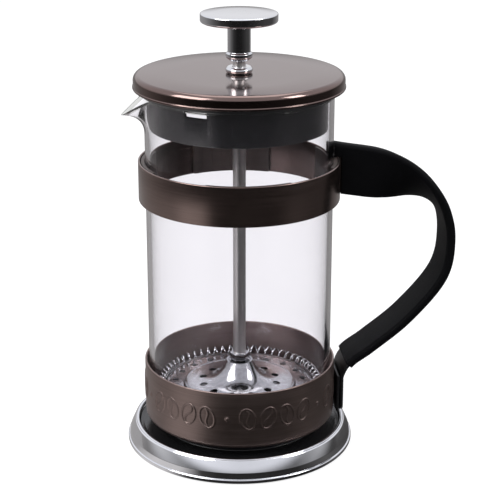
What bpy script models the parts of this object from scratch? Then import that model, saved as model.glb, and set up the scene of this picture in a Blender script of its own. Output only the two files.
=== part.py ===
"""French press: a glass beaker in a metal frame, with a lift-off lid and a spring-edged plunger.

The origin is the centre of the base's underside.  +Z is up, the handle points along +X and the
spout along -X.  Lengths are in metres.
"""
import math

import bmesh
import bpy
from mathutils import Vector

MM = 0.001

# ---------------------------------------------------------------- clearances
GAP = 0.3 * MM  # between pieces that rest on each other
RUN_GAP = 0.12 * MM  # round the rod where it slides or turns
CUP_CLEARANCE = 0.84 * MM  # glass to the lower cup's wall
COLLAR_CLEARANCE = 0.6 * MM  # glass to the lid's skirt
SPRING_CLEARANCE = 0.3 * MM  # glass to the filter's edge spring
FILTER_REST_GAP = 3.5 * MM  # glass floor to the pressed filter
PLUNGER_REST_GAP = 2.3 * MM  # lid bush to the knob of the pressed plunger
OVERCUT = 1.0 * MM  # how far a cutter reaches past what it cuts

# ---------------------------------------------------------------- beaker
GLASS_RADIUS = 36.0 * MM
GLASS_HEIGHT = 128.3 * MM
GLASS_WALL = 1.8 * MM
GLASS_FLOOR = 2.5 * MM
GLASS_CORNER = 5.0 * MM
SPOUT_REACH = 9.3 * MM
SPOUT_DROOP = 8.0 * MM
SPOUT_DEPTH = 16.0 * MM
SPOUT_HALF_ANGLE = math.radians(24.0)
SPOUT_SPREAD = 1.3  # larger makes the spout's tip narrower
SPOUT_CURL = 2.2  # larger keeps the flare nearer the rim
SPOUT_PINCH = 0.35  # how much of the spout's width the tip loses

# ---------------------------------------------------------------- base
BASE_FLARE = 7.36 * MM  # the foot's reach beyond the lower cup
BASE_HEIGHT = 9.1 * MM
BASE_SHELL = 1.0 * MM
BASE_LIP = 4.6 * MM  # the ring's outermost edge to its inner one
BASE_LIP_DEPTH = 1.5 * MM
BASE_SHOULDER = 2.6 * MM  # the ring's outermost edge to its shoulder
BASE_DRAFT = 0.8 * MM  # the ring's outermost edge to the slope's foot
BASE_SLOPE_FOOT = 4.5 * MM  # height of the slope's foot
BASE_BEAD = 0.5 * MM  # reach of the bead round the foot
BASE_BEAD_TOP = 2.1 * MM
PAD_THICKNESS = 1.2 * MM
INSERT_WALL = 2.0 * MM
INSERT_TRENCH = 7.4 * MM  # height of the insert's outer step
INSERT_SEAT = 11.0 * MM  # height of the insert's seat
INSERT_SEAT_RADIUS = 31.0 * MM
INSERT_SKIRT_INSET = 3.2 * MM  # the ring's outermost edge to the insert's skirt
INSERT_RIM_DROP = 1.9 * MM  # the trench slopes down by this to the skirt
HUB_OPENING = 10.0 * MM
SCREW_CIRCLE = 22.0 * MM
SCREW_RADIUS = 1.5 * MM
SCREW_LENGTH = 7.0 * MM
SCREW_HEAD_RADIUS = 3.0 * MM
SCREW_HEAD_HEIGHT = 0.9 * MM
CUSHION_THICKNESS = 1.0 * MM
CUSHION_WIDTH = 7.2 * MM

# ---------------------------------------------------------------- frame
CUP_WALL = 0.8 * MM
CUP_HEIGHT = 23.2 * MM
CUP_CORNER = 2.0 * MM
BAND_WALL = 0.8 * MM
BAND_HEIGHT = 15.35 * MM
BAND_DROP = 41.45 * MM  # beaker's rim to the band's lower edge
LINER_THICKNESS = 1.3 * MM
LINER_ANGLE = math.radians(50.0)
LINER_INSET = 0.35 * MM
EAR_LENGTH = 8.0 * MM
EAR_HEIGHT = 12.4 * MM
EAR_BEND = 0.6 * MM
EAR_MARGIN = 3.5 * MM  # sleeve kept thick beyond the ears
EAR_TAPER = 8.0 * MM
EAR_RIVET_PLACES = (0.3, 0.72)  # shares of the ear's length
EAR_CUT_WIDTH = 10.0 * MM

# ---------------------------------------------------------------- handle
STRAP_WIDTH = 18.2 * MM
STRAP_THICKNESS = 1.2 * MM
BRACKET_THICKNESS = 1.3 * MM
BRACKET_RISE = 1.0 * MM  # the bracket's top above the tab's
HANDLE_RISE = 2.8 * MM  # the strap's root above the band's middle
HANDLE_REACH = 41.8 * MM  # from the lower tab out to the bend
TAB_FOOT = 0.7 * MM  # the tab's lower end above the cup's bottom
TAB_HEIGHT = 14.5 * MM
SLEEVE_GAP = 0.2 * MM
SLEEVE_EDGE = 0.6 * MM
SLEEVE_SKIN = 1.0 * MM
SLEEVE_CORNER = 1.4 * MM
SLEEVE_END_LIFT = 4.9 * MM  # strap left bare above the tab
TWIST_START = 0.06  # shares of the strap's length, from the band
TWIST_END = 0.34
RIVET_RADIUS = 1.6 * MM
RIVET_HEAD_RADIUS = 3.0 * MM
RIVET_HEAD_HEIGHT = 0.6 * MM
RIVET_PITCH = 8.0 * MM
EAR_RIVET_RADIUS = 1.2 * MM
# The grip's curve: (share of the reach, share of the height from the tab up to the root).
GRIP_SHAPE = (
    (0.343, 0.966),
    (0.701, 0.904),
    (0.936, 0.804),
    (1.000, 0.651),
    (0.930, 0.476),
    (0.617, 0.284),
    (0.278, 0.145),
    (0.080, 0.073),
)

# ---------------------------------------------------------------- lid
LID_OVERHANG = 4.2 * MM
LID_RISE = 7.3 * MM  # beaker rim to the lid's top
LID_SKIRT = 5.3 * MM
LID_WALL = 0.8 * MM
LID_EDGE = 2.2 * MM
COLLAR_DEPTH = 13.2 * MM
COLLAR_WALL = 1.6 * MM
FLANGE_OVERHANG = 1.8 * MM
FLANGE_HEIGHT = 2.0 * MM
COLLAR_STEP = 0.5 * MM
WINDOW_WIDTH = 9.0 * MM
WINDOW_HEIGHT = 2.6 * MM
WINDOW_DROP = 0.7 * MM  # the flange's underside to the window's top
WINDOW_ANGLE = math.radians(-123.5)
STRAINER_SLOTS = 5
STRAINER_SLOT_WIDTH = 1.6 * MM
STRAINER_PITCH = math.radians(6.0)
BUSH_RADIUS = 5.28 * MM
BUSH_BEAD = 2.1 * MM
BUSH_STEM_WALL = 1.3 * MM
BUSH_TAIL = 1.0 * MM  # the stem's end below its nut
WASHER_RADIUS = 7.5 * MM
WASHER_THICKNESS = 0.8 * MM
NUT_RADIUS = 6.0 * MM
NUT_HEIGHT = 2.8 * MM

# ---------------------------------------------------------------- plunger
ROD_RADIUS = 2.5 * MM
KNOB_RADIUS = 14.6 * MM
KNOB_THICKNESS = 3.8 * MM
KNOB_TOP_EDGE = 0.5 * MM
KNOB_UNDER_EDGE = 0.9 * MM
KNOB_UNDERCUT = 0.6 * MM  # the disc's underside deepens by this to the stem
KNOB_STEM_RADIUS = 4.36 * MM
KNOB_BEAD_RADIUS = 5.07 * MM
KNOB_BEAD_HEIGHT = 3.0 * MM
KNOB_HEIGHT = 17.9 * MM
KNOB_BORE_DEPTH = 9.3 * MM
CROSS_THICKNESS = 1.2 * MM
CROSS_WIDTH = 6.0 * MM
CROSS_HUB_HEIGHT = 13.3 * MM
CROSS_HUB_WALL = 1.3 * MM
CROSS_EDGE_INSET = 3.2 * MM
MESH_THICKNESS = 0.5 * MM
MESH_EDGE_INSET = 1.0 * MM
PLATE_THICKNESS = 0.6 * MM
PLATE_NECK_FLAT = 0.8 * MM  # flat edge round the hub
PLATE_NECK_CURVE = 4.0  # larger makes the neck steeper
PLATE_FOLD_RADIUS = 21.0 * MM
PLATE_FOLD_STEP = 1.2 * MM
PLATE_FOLD_WIDTH = 1.6 * MM
PLATE_HOLES = 10
PLATE_HOLE_RADIUS = 1.7 * MM
COIL_RADIUS = 1.7 * MM
COIL_WIRE_RADIUS = 0.32 * MM
COIL_TURNS = 60
FILTER_NUT_RADIUS = 4.1 * MM
FILTER_NUT_HEIGHT = 3.0 * MM

# ---------------------------------------------------------------- worked out from the sizes above
CUP_BOTTOM = INSERT_SEAT + GAP
CUP_RADIUS = GLASS_RADIUS + CUP_CLEARANCE + CUP_WALL
CUP_TOP = CUP_BOTTOM + CUP_HEIGHT
CUSHION_BOTTOM = CUP_BOTTOM + CUP_WALL + GAP
GLASS_BOTTOM = CUSHION_BOTTOM + CUSHION_THICKNESS + GAP
GLASS_RIM = GLASS_BOTTOM + GLASS_HEIGHT
GLASS_INNER = GLASS_RADIUS - GLASS_WALL
FLOOR_TOP = GLASS_BOTTOM + GLASS_FLOOR
BASE_RADIUS = CUP_RADIUS + BASE_FLARE

BAND_BOTTOM = GLASS_RIM - BAND_DROP
BAND_TOP = BAND_BOTTOM + BAND_HEIGHT
LINER_RADIUS = GLASS_RADIUS + GAP + LINER_THICKNESS
BAND_INNER = LINER_RADIUS + GAP
BAND_RADIUS = BAND_INNER + BAND_WALL
EAR_BOTTOM = (BAND_BOTTOM + BAND_TOP - EAR_HEIGHT) / 2 + HANDLE_RISE / 2
EAR_FACE = STRAP_THICKNESS / 2 + GAP

TAB_X = CUP_RADIUS + GAP + BRACKET_THICKNESS + GAP + STRAP_THICKNESS / 2
TAB_BOTTOM = CUP_BOTTOM + TAB_FOOT
TAB_TOP = TAB_BOTTOM + TAB_HEIGHT
ROOT_X = BAND_RADIUS + GAP
ROOT_Z = (BAND_BOTTOM + BAND_TOP) / 2 + HANDLE_RISE
SLEEVE_START = BAND_RADIUS + EAR_BEND  # the sleeve's end follows the band at this radius

LID_TOP = GLASS_RIM + LID_RISE
LID_RADIUS = GLASS_RADIUS + LID_OVERHANG
COLLAR_RADIUS = GLASS_INNER - COLLAR_CLEARANCE
COLLAR_TOP = LID_TOP - LID_WALL - GAP
COLLAR_BOTTOM = GLASS_RIM - COLLAR_DEPTH
FLANGE_BOTTOM = GLASS_RIM + GAP
FLANGE_RADIUS = GLASS_RADIUS + FLANGE_OVERHANG
BUSH_BORE = ROD_RADIUS + RUN_GAP
BUSH_STEM = BUSH_BORE + BUSH_STEM_WALL
BUSH_BOTTOM = LID_TOP + GAP
BUSH_TOP = BUSH_BOTTOM + BUSH_BEAD
WASHER_TOP = COLLAR_TOP - COLLAR_WALL - GAP
NUT_TOP = WASHER_TOP - WASHER_THICKNESS - GAP
NUT_BOTTOM = NUT_TOP - NUT_HEIGHT

KNOB_BOTTOM = BUSH_TOP + PLUNGER_REST_GAP
KNOB_TOP = KNOB_BOTTOM + KNOB_HEIGHT
CROSS_BOTTOM = FLOOR_TOP + FILTER_REST_GAP
CROSS_TOP = CROSS_BOTTOM + CROSS_THICKNESS
CROSS_WELL = CROSS_BOTTOM + 1.5 * CROSS_THICKNESS  # floor of the hub's bore
CROSS_HUB_TOP = CROSS_BOTTOM + CROSS_HUB_HEIGHT
CROSS_HUB_RADIUS = ROD_RADIUS + GAP + CROSS_HUB_WALL
MESH_BOTTOM = CROSS_TOP + GAP
PLATE_BOTTOM = MESH_BOTTOM + MESH_THICKNESS + GAP
PLATE_FOLD = PLATE_BOTTOM + PLATE_FOLD_STEP
PLATE_RISE = CROSS_HUB_TOP - PLATE_THICKNESS - PLATE_FOLD
COIL_OUTER = GLASS_INNER - SPRING_CLEARANCE
COIL_CIRCLE = COIL_OUTER - COIL_WIRE_RADIUS - COIL_RADIUS
COIL_HEIGHT = PLATE_BOTTOM + COIL_WIRE_RADIUS + COIL_RADIUS
PLATE_RADIUS = COIL_CIRCLE - COIL_RADIUS - COIL_WIRE_RADIUS - GAP
FILTER_NUT_BOTTOM = CROSS_HUB_TOP + GAP

WIDE_STEPS = 40  # facets round the wide pieces
BEAKER_STEPS = 60
SMALL_STEPS = 24  # facets round the rod and the bush
KNOB_STEPS = 32
ARC_POINTS = 3  # spans in a rounded corner of a profile

# ---------------------------------------------------------------- finishes: colour, roughness, metallic
BRONZE = ((0.10, 0.062, 0.05), 0.35, 1.0)
CHROME = ((0.85, 0.86, 0.88), 0.08, 1.0)
STEEL = ((0.62, 0.62, 0.63), 0.25, 1.0)
BLACK_STEEL = ((0.02, 0.02, 0.022), 0.4, 0.8)
RUBBER = ((0.02, 0.02, 0.022), 0.75, 0.0)
BROWN_RUBBER = ((0.10, 0.075, 0.065), 0.6, 0.0)
GREY_PLASTIC = ((0.07, 0.07, 0.075), 0.4, 0.0)
BLACK_PLASTIC = ((0.012, 0.012, 0.013), 0.5, 0.0)
CLEAR_GLASS = ((0.95, 0.97, 0.97), 0.02, 0.0)


def clear_scene():
    for obj in list(bpy.data.objects):
        bpy.data.objects.remove(obj, do_unlink=True)


def new_collection(name):
    collection = bpy.data.collections.new(name)
    bpy.context.scene.collection.children.link(collection)
    return collection


clear_scene()
PARTS = new_collection("french_press")
CUTTERS = new_collection("cutters")


# ---------------------------------------------------------------- helpers
def add_finish(obj, finish):
    """Gives the object its own material."""
    color, roughness, metallic = finish
    material = bpy.data.materials.new(obj.name + "_finish")
    material.use_nodes = True
    shader = material.node_tree.nodes["Principled BSDF"]
    shader.inputs["Base Color"].default_value = (*color, 1.0)
    shader.inputs["Roughness"].default_value = roughness
    shader.inputs["Metallic"].default_value = metallic
    if finish is CLEAR_GLASS:
        shader.inputs["Transmission Weight"].default_value = 1.0
        shader.inputs["IOR"].default_value = 1.47
    obj.data.materials.clear()
    obj.data.materials.append(material)


def add_object(name, data, collection=None):
    obj = bpy.data.objects.new(name, data)
    (collection or PARTS).objects.link(obj)
    if collection is CUTTERS:
        obj.hide_render = True
        obj.display_type = "WIRE"
    return obj


def rounded(points, spans=ARC_POINTS):
    """A closed outline whose corners, given as (x, y, radius), are rounded with arcs."""
    outline = []
    count = len(points)
    for i, (x, y, radius) in enumerate(points):
        corner = Vector((x, y))
        if radius == 0:
            outline.append(corner)
            continue
        before = (Vector(points[i - 1][:2]) - corner).normalized()
        after = (Vector(points[(i + 1) % count][:2]) - corner).normalized()
        half = before.angle(after) / 2
        centre = corner + (before + after).normalized() * (radius / math.sin(half))
        start = corner + before * (radius / math.tan(half)) - centre
        end = corner + after * (radius / math.tan(half)) - centre
        sweep = start.angle_signed(end)
        for k in range(spans + 1):
            turn = -sweep * k / spans
            turned = Vector((
                start.x * math.cos(turn) - start.y * math.sin(turn),
                start.x * math.sin(turn) + start.y * math.cos(turn),
            ))
            outline.append(centre + turned)
    return outline


def turned(name, outline, steps, closed=True, collection=None):
    """Turns a profile of (radius, height) points about Z; it runs down its outer side."""
    mesh = bpy.data.meshes.new(name)
    vertices = [(p[0], 0.0, p[1]) for p in outline]
    edges = [(i, i + 1) for i in range(len(vertices) - 1)]
    if closed:
        edges.append((len(vertices) - 1, 0))
    mesh.from_pydata(vertices, edges, [])
    obj = add_object(name, mesh, collection)
    screw = obj.modifiers.new("turn", "SCREW")
    screw.axis = "Z"
    screw.angle = math.tau
    screw.steps = steps
    screw.render_steps = steps
    screw.use_merge_vertices = True
    screw.merge_threshold = 0.00001
    screw.use_smooth_shade = True
    return obj


def ring(name, inner, outer, bottom, top, steps=WIDE_STEPS, collection=None):
    outline = [(outer, top), (outer, bottom), (inner, bottom), (inner, top)]
    return turned(name, outline, steps, collection=collection)


def disc(name, radius, bottom, top, steps=WIDE_STEPS, collection=None):
    outline = [(0.0, top), (radius, top), (radius, bottom), (0.0, bottom)]
    return turned(name, outline, steps, closed=False, collection=collection)


def as_mesh(obj):
    """Replaces an object by its evaluated mesh, at the same place, with loose ends welded."""
    depsgraph = bpy.context.evaluated_depsgraph_get()
    mesh = bpy.data.meshes.new_from_object(obj.evaluated_get(depsgraph))
    weld = bmesh.new()
    weld.from_mesh(mesh)
    bmesh.ops.remove_doubles(weld, verts=weld.verts, dist=0.000001)
    bmesh.ops.recalc_face_normals(weld, faces=weld.faces)
    weld.to_mesh(mesh)
    weld.free()
    name = obj.name
    collection = obj.users_collection[0]
    placed = obj.matrix_world.copy()
    bpy.data.objects.remove(obj, do_unlink=True)
    replacement = add_object(name, mesh, collection)
    replacement.matrix_world = placed
    return replacement


def box(name, low, high, collection=None):
    mesh = bpy.data.meshes.new(name)
    shape = bmesh.new()
    bmesh.ops.create_cube(shape, size=1.0)
    for vertex in shape.verts:
        for axis in range(3):
            middle = (low[axis] + high[axis]) / 2
            vertex.co[axis] = middle + vertex.co[axis] * (high[axis] - low[axis])
    shape.to_mesh(mesh)
    shape.free()
    return add_object(name, mesh, collection)


def rod_between(name, start, end, radius, steps, collection=None):
    """A cylinder from start to end."""
    start = Vector(start)
    end = Vector(end)
    mesh = bpy.data.meshes.new(name)
    shape = bmesh.new()
    length = (end - start).length
    bmesh.ops.create_cone(
        shape, cap_ends=True, segments=steps, radius1=radius, radius2=radius, depth=length
    )
    shape.to_mesh(mesh)
    shape.free()
    obj = add_object(name, mesh, collection)
    obj.location = (start + end) / 2
    obj.rotation_euler = (end - start).to_track_quat("Z", "Y").to_euler()
    return obj


def outline_solid(name, outline, bottom, top):
    """A flat outline in XY with straight sides."""
    curve = bpy.data.curves.new(name, "CURVE")
    curve.dimensions = "2D"
    curve.fill_mode = "BOTH"
    curve.extrude = (top - bottom) / 2
    curve.render_resolution_u = 0
    spline = curve.splines.new("POLY")
    spline.points.add(len(outline) - 1)
    for point, place in zip(spline.points, outline):
        point.co = (place[0], place[1], 0.0, 1.0)
    spline.use_cyclic_u = True
    obj = add_object(name, curve)
    obj.location.z = (top + bottom) / 2
    bpy.context.view_layer.update()
    return as_mesh(obj)


def combine(obj, others, operation="DIFFERENCE"):
    for other in others:
        modifier = obj.modifiers.new(operation.lower(), "BOOLEAN")
        modifier.operation = operation
        modifier.solver = "EXACT"
        modifier.object = other
    return obj


def shade(obj, degrees=35.0):
    obj.data.shade_smooth()
    obj.data.set_sharp_from_angle(angle=math.radians(degrees))


def arc(radius, start, end, spans):
    """Points on a circle about Z, from one angle to another."""
    points = []
    for i in range(spans + 1):
        angle = start + (end - start) * i / spans
        points.append(Vector((radius * math.cos(angle), radius * math.sin(angle))))
    return points


def hexagon_nut(name, radius, bore, bottom, top):
    """A hexagonal nut about Z with a round bore."""
    nut = outline_solid(name, arc(radius, 0.0, math.tau * 5 / 6, 5), bottom, top)
    hole = disc(name + "_bore", bore, bottom - GAP, top + GAP, SMALL_STEPS, CUTTERS)
    return combine(nut, [hole])


# ---------------------------------------------------------------- base
def make_base():
    lip_inner = BASE_RADIUS - BASE_LIP
    lip_bottom = BASE_HEIGHT - BASE_LIP_DEPTH
    waist = BASE_RADIUS - BASE_DRAFT
    inside = BASE_RADIUS - BASE_BEAD - BASE_SHELL
    outline = rounded([
        (lip_inner, lip_bottom, 0),
        (lip_inner, BASE_HEIGHT, 0.4 * MM),
        (BASE_RADIUS - BASE_SHOULDER, BASE_HEIGHT, 1.2 * MM),
        (waist, BASE_SLOPE_FOOT, 0),
        (BASE_RADIUS - BASE_BEAD, BASE_BEAD_TOP, 0),
        (BASE_RADIUS, BASE_BEAD_TOP - BASE_BEAD, 0),
        (BASE_RADIUS, GAP + BASE_BEAD, 0),
        (BASE_RADIUS - BASE_BEAD, GAP, 0),
        (inside, GAP, 0),
        (waist - BASE_SHELL, BASE_SLOPE_FOOT, 0),
        (BASE_RADIUS - BASE_SHOULDER - BASE_SHELL, lip_bottom, 0),
    ])
    base_ring = turned("base_ring", outline, WIDE_STEPS)
    add_finish(base_ring, CHROME)

    rim = lip_inner - 2 * GAP
    skirt = BASE_RADIUS - INSERT_SKIRT_INSET
    foot = PAD_THICKNESS + GAP
    deck = INSERT_TRENCH - INSERT_WALL
    outline = [
        (rim, INSERT_TRENCH),
        (skirt, INSERT_TRENCH - INSERT_RIM_DROP),
        (skirt, foot),
        (skirt - INSERT_WALL, foot),
        (skirt - INSERT_WALL, deck),
        (INSERT_SEAT_RADIUS - INSERT_WALL, deck),
        (INSERT_SEAT_RADIUS - INSERT_WALL, INSERT_SEAT - INSERT_WALL),
        (HUB_OPENING, INSERT_SEAT - INSERT_WALL),
        (HUB_OPENING, INSERT_SEAT),
        (INSERT_SEAT_RADIUS, INSERT_SEAT),
        (INSERT_SEAT_RADIUS, INSERT_TRENCH),
    ]
    insert = turned("base_insert", outline, WIDE_STEPS)
    insert_pad = disc("base_pad", skirt - 2 * GAP, 0.0, PAD_THICKNESS)
    add_finish(insert, BLACK_PLASTIC)
    add_finish(insert_pad, RUBBER)

    head_bottom = CUP_BOTTOM + CUP_WALL + GAP
    screw_outline = [
        (0.0, head_bottom + SCREW_HEAD_HEIGHT),
        (SCREW_HEAD_RADIUS, head_bottom + SCREW_HEAD_HEIGHT),
        (SCREW_HEAD_RADIUS, head_bottom),
        (SCREW_RADIUS, head_bottom),
        (SCREW_RADIUS, head_bottom - SCREW_LENGTH),
        (0.0, head_bottom - SCREW_LENGTH),
    ]
    holes = []
    for number in range(3):
        angle = math.radians(90.0 + 120.0 * number)
        place = (SCREW_CIRCLE * math.cos(angle), SCREW_CIRCLE * math.sin(angle), 0.0)
        screw = turned("base_screw_%d" % (number + 1), screw_outline, 12, closed=False)
        screw.location = place
        add_finish(screw, STEEL)
        hole = disc(
            "screw_hole_%d" % (number + 1), SCREW_RADIUS + GAP,
            head_bottom - SCREW_LENGTH, head_bottom + GAP, 12, CUTTERS,
        )
        hole.location = place
        holes.append(hole)
    combine(insert, holes)
    return holes


# ---------------------------------------------------------------- lower cup, cushion and bracket
def make_lower_cup(screw_holes, rivet_holes):
    inner = CUP_RADIUS - CUP_WALL
    opening = HUB_OPENING + 2 * MM
    outline = rounded([
        (CUP_RADIUS, CUP_TOP, 0),
        (CUP_RADIUS, CUP_BOTTOM, CUP_CORNER),
        (opening, CUP_BOTTOM, 0),
        (opening, CUP_BOTTOM + CUP_WALL, 0),
        (inner, CUP_BOTTOM + CUP_WALL, CUP_CORNER - CUP_WALL),
        (inner, CUP_TOP, 0),
    ])
    cup = turned("lower_cup", outline, WIDE_STEPS)
    combine(cup, screw_holes + rivet_holes)
    add_finish(cup, BRONZE)

    cushion_outer = GLASS_RADIUS - CUP_WALL
    cushion = ring(
        "glass_cushion", cushion_outer - CUSHION_WIDTH, cushion_outer,
        CUSHION_BOTTOM, CUSHION_BOTTOM + CUSHION_THICKNESS,
    )
    add_finish(cushion, RUBBER)

    low = (CUP_RADIUS + GAP, -STRAP_WIDTH / 2, TAB_BOTTOM)
    high = (CUP_RADIUS + GAP + BRACKET_THICKNESS, STRAP_WIDTH / 2, TAB_TOP + BRACKET_RISE)
    bracket = box("handle_bracket", low, high)
    combine(bracket, rivet_holes)
    add_finish(bracket, BLACK_STEEL)


def make_lower_rivets():
    """Two rivets through the cup, the bracket and the strap's tab, and the holes they pass."""
    holes = []
    cup_inner = CUP_RADIUS - CUP_WALL
    head_start = TAB_X + STRAP_THICKNESS / 2 + GAP
    middle = (TAB_BOTTOM + TAB_TOP) / 2
    for number, offset in ((1, -RIVET_PITCH / 2), (2, RIVET_PITCH / 2)):
        height = middle + offset
        outline = [
            (0.0, RIVET_HEAD_HEIGHT),
            (RIVET_HEAD_RADIUS - RIVET_HEAD_HEIGHT, RIVET_HEAD_HEIGHT),
            (RIVET_HEAD_RADIUS, 0.0),
            (RIVET_RADIUS, 0.0),
            (RIVET_RADIUS, cup_inner - head_start),
            (0.0, cup_inner - head_start),
        ]
        rivet = turned("lower_rivet_%d" % number, outline, 16, closed=False)
        rivet.location = (head_start, 0.0, height)
        rivet.rotation_euler = (0.0, math.radians(90.0), 0.0)
        add_finish(rivet, BLACK_STEEL)
        hole = rod_between(
            "lower_rivet_hole_%d" % number, (cup_inner - OVERCUT, 0.0, height),
            (head_start + OVERCUT, 0.0, height), RIVET_RADIUS + GAP, 16, CUTTERS,
        )
        holes.append(hole)
    return holes


# ---------------------------------------------------------------- upper band and its liners
def make_upper_band(rivet_holes):
    middle = BAND_INNER + BAND_WALL / 2
    ear_y = EAR_FACE + BAND_WALL / 2
    bend_y = ear_y + EAR_BEND
    bend_x = math.sqrt((middle + EAR_BEND) ** 2 - bend_y ** 2)
    meet = math.atan2(bend_y, bend_x)
    path = [Vector((ROOT_X + EAR_LENGTH, ear_y))]
    for i in range(5):
        turn = -math.pi / 2 - (math.pi / 2 - meet) * i / 4
        spot = Vector((bend_x, bend_y)) + EAR_BEND * Vector((math.cos(turn), math.sin(turn)))
        path.append(spot)
    path += arc(middle, meet, math.tau - meet, WIDE_STEPS)[1:-1]
    path += [Vector((p.x, -p.y)) for p in reversed(path[:6])]
    mesh = bpy.data.meshes.new("upper_band")
    count = len(path)
    vertices = [(p.x, p.y, BAND_BOTTOM) for p in path] + [(p.x, p.y, BAND_TOP) for p in path]
    faces = [(i, i + 1, count + i + 1, count + i) for i in range(count - 1)]
    mesh.from_pydata(vertices, [], faces)
    band = add_object("upper_band", mesh)
    solidify = band.modifiers.new("sheet", "SOLIDIFY")
    solidify.thickness = BAND_WALL
    solidify.offset = 0.0
    solidify.use_even_offset = True
    ear_start = BAND_RADIUS + 1.5 * GAP
    ear_end = ROOT_X + 2 * EAR_LENGTH
    half = EAR_CUT_WIDTH / 2
    under = box(
        "under_ears", (ear_start, -half, BAND_BOTTOM - OVERCUT), (ear_end, half, EAR_BOTTOM), CUTTERS
    )
    over = box(
        "over_ears", (ear_start, -half, EAR_BOTTOM + EAR_HEIGHT),
        (ear_end, half, BAND_TOP + OVERCUT), CUTTERS,
    )
    combine(band, [under, over] + rivet_holes)
    add_finish(band, BRONZE)

    inner = GLASS_RADIUS + GAP
    for number in range(4):
        middle_angle = math.radians(90.0 * number)
        start = middle_angle - LINER_ANGLE / 2
        end = middle_angle + LINER_ANGLE / 2
        outline = arc(LINER_RADIUS, start, end, 8) + arc(inner, end, start, 8)
        liner = outline_solid(
            "band_pad_%d" % (number + 1), outline, BAND_BOTTOM + LINER_INSET, BAND_TOP - LINER_INSET
        )
        add_finish(liner, BROWN_RUBBER)


def make_upper_rivets():
    """Two headless rivets through the band's ears and the strap."""
    holes = []
    half = EAR_FACE + BAND_WALL
    height = EAR_BOTTOM + EAR_HEIGHT / 2
    for number, share in enumerate(EAR_RIVET_PLACES, 1):
        place = ROOT_X + share * EAR_LENGTH
        rivet = rod_between(
            "upper_rivet_%d" % number, (place, -half, height), (place, half, height),
            EAR_RIVET_RADIUS, 12,
        )
        add_finish(rivet, STEEL)
        hole = rod_between(
            "upper_rivet_hole_%d" % number, (place, -2 * half, height), (place, 2 * half, height),
            EAR_RIVET_RADIUS + GAP, 12, CUTTERS,
        )
        holes.append(hole)
    return holes


# ---------------------------------------------------------------- handle
def grip_points():
    """The strap's centre line in the XZ plane, from the band down to the tab's foot."""
    height = ROOT_Z - TAB_TOP
    points = [Vector((ROOT_X, ROOT_Z))]
    for reach, rise in GRIP_SHAPE:
        points.append(Vector((TAB_X + reach * HANDLE_REACH, TAB_TOP + rise * height)))
    points.append(Vector((TAB_X, TAB_TOP)))
    points.append(Vector((TAB_X, (TAB_TOP + TAB_BOTTOM) / 2)))
    points.append(Vector((TAB_X, TAB_BOTTOM)))
    return points


def smooth_line(points, spans):
    """A Catmull-Rom curve through the points."""
    line = []
    ends = [2 * points[0] - points[1]] + points + [2 * points[-1] - points[-2]]
    for i in range(1, len(ends) - 2):
        a, b, c, d = ends[i - 1:i + 3]
        for k in range(spans):
            t = k / spans
            line.append(
                0.5 * (2 * b + (c - a) * t + (2 * a - 5 * b + 4 * c - d) * t ** 2
                       + (3 * b - a - 3 * c + d) * t ** 3)
            )
    line.append(points[-1])
    return line


def grip_frames(spans=4):
    """Along the strap: its centre, the way its width runs and the way its face looks."""
    line = smooth_line(grip_points(), spans)
    for point in line:
        if point.y < TAB_TOP:
            point.x = TAB_X
    lengths = [0.0]
    for a, b in zip(line, line[1:]):
        lengths.append(lengths[-1] + (b - a).length)
    frames = []
    for i, point in enumerate(line):
        along = line[min(i + 1, len(line) - 1)] - line[max(i - 1, 0)]
        along = Vector((along.x, 0.0, along.y)).normalized()
        outward = Vector((-along.z, 0.0, along.x))
        share = (lengths[i] / lengths[-1] - TWIST_START) / (TWIST_END - TWIST_START)
        share = min(max(share, 0.0), 1.0)
        twist = math.pi / 2 * share * share * (3 - 2 * share)
        width = outward * math.cos(twist) - Vector((0.0, 1.0, 0.0)) * math.sin(twist)
        frames.append((Vector((point.x, 0.0, point.y)), width, along.cross(width), along))
    return frames


def loft(name, frames, sizes, corner, collection=None):
    """A bar through the frames; sizes gives each section's half width and half thickness.

    Its sides are split the same way on every bar, so nested bars stay apart where they twist.
    """
    mesh = bpy.data.meshes.new(name)
    shape = bmesh.new()
    rings = []
    for (centre, width, face, _along), (half_width, half_face) in zip(frames, sizes):
        radius = min(corner, 0.95 * half_face)
        if radius > 0:
            outline = rounded([
                (half_width, half_face, radius), (half_width, -half_face, radius),
                (-half_width, -half_face, radius), (-half_width, half_face, radius),
            ], 2)
        else:
            outline = [
                Vector((half_width, half_face)), Vector((half_width, -half_face)),
                Vector((-half_width, -half_face)), Vector((-half_width, half_face)),
            ]
        rings.append([shape.verts.new(centre + width * p.x + face * p.y) for p in outline])
    count = len(rings[0])
    for first, second in zip(rings, rings[1:]):
        for i in range(count):
            k = (i + 1) % count
            shape.faces.new((first[i], first[k], second[k]))
            shape.faces.new((first[i], second[k], second[i]))
    shape.faces.new(rings[0])
    shape.faces.new(rings[-1])
    bmesh.ops.recalc_face_normals(shape, faces=shape.faces)
    shape.to_mesh(mesh)
    shape.free()
    return add_object(name, mesh, collection)


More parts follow.
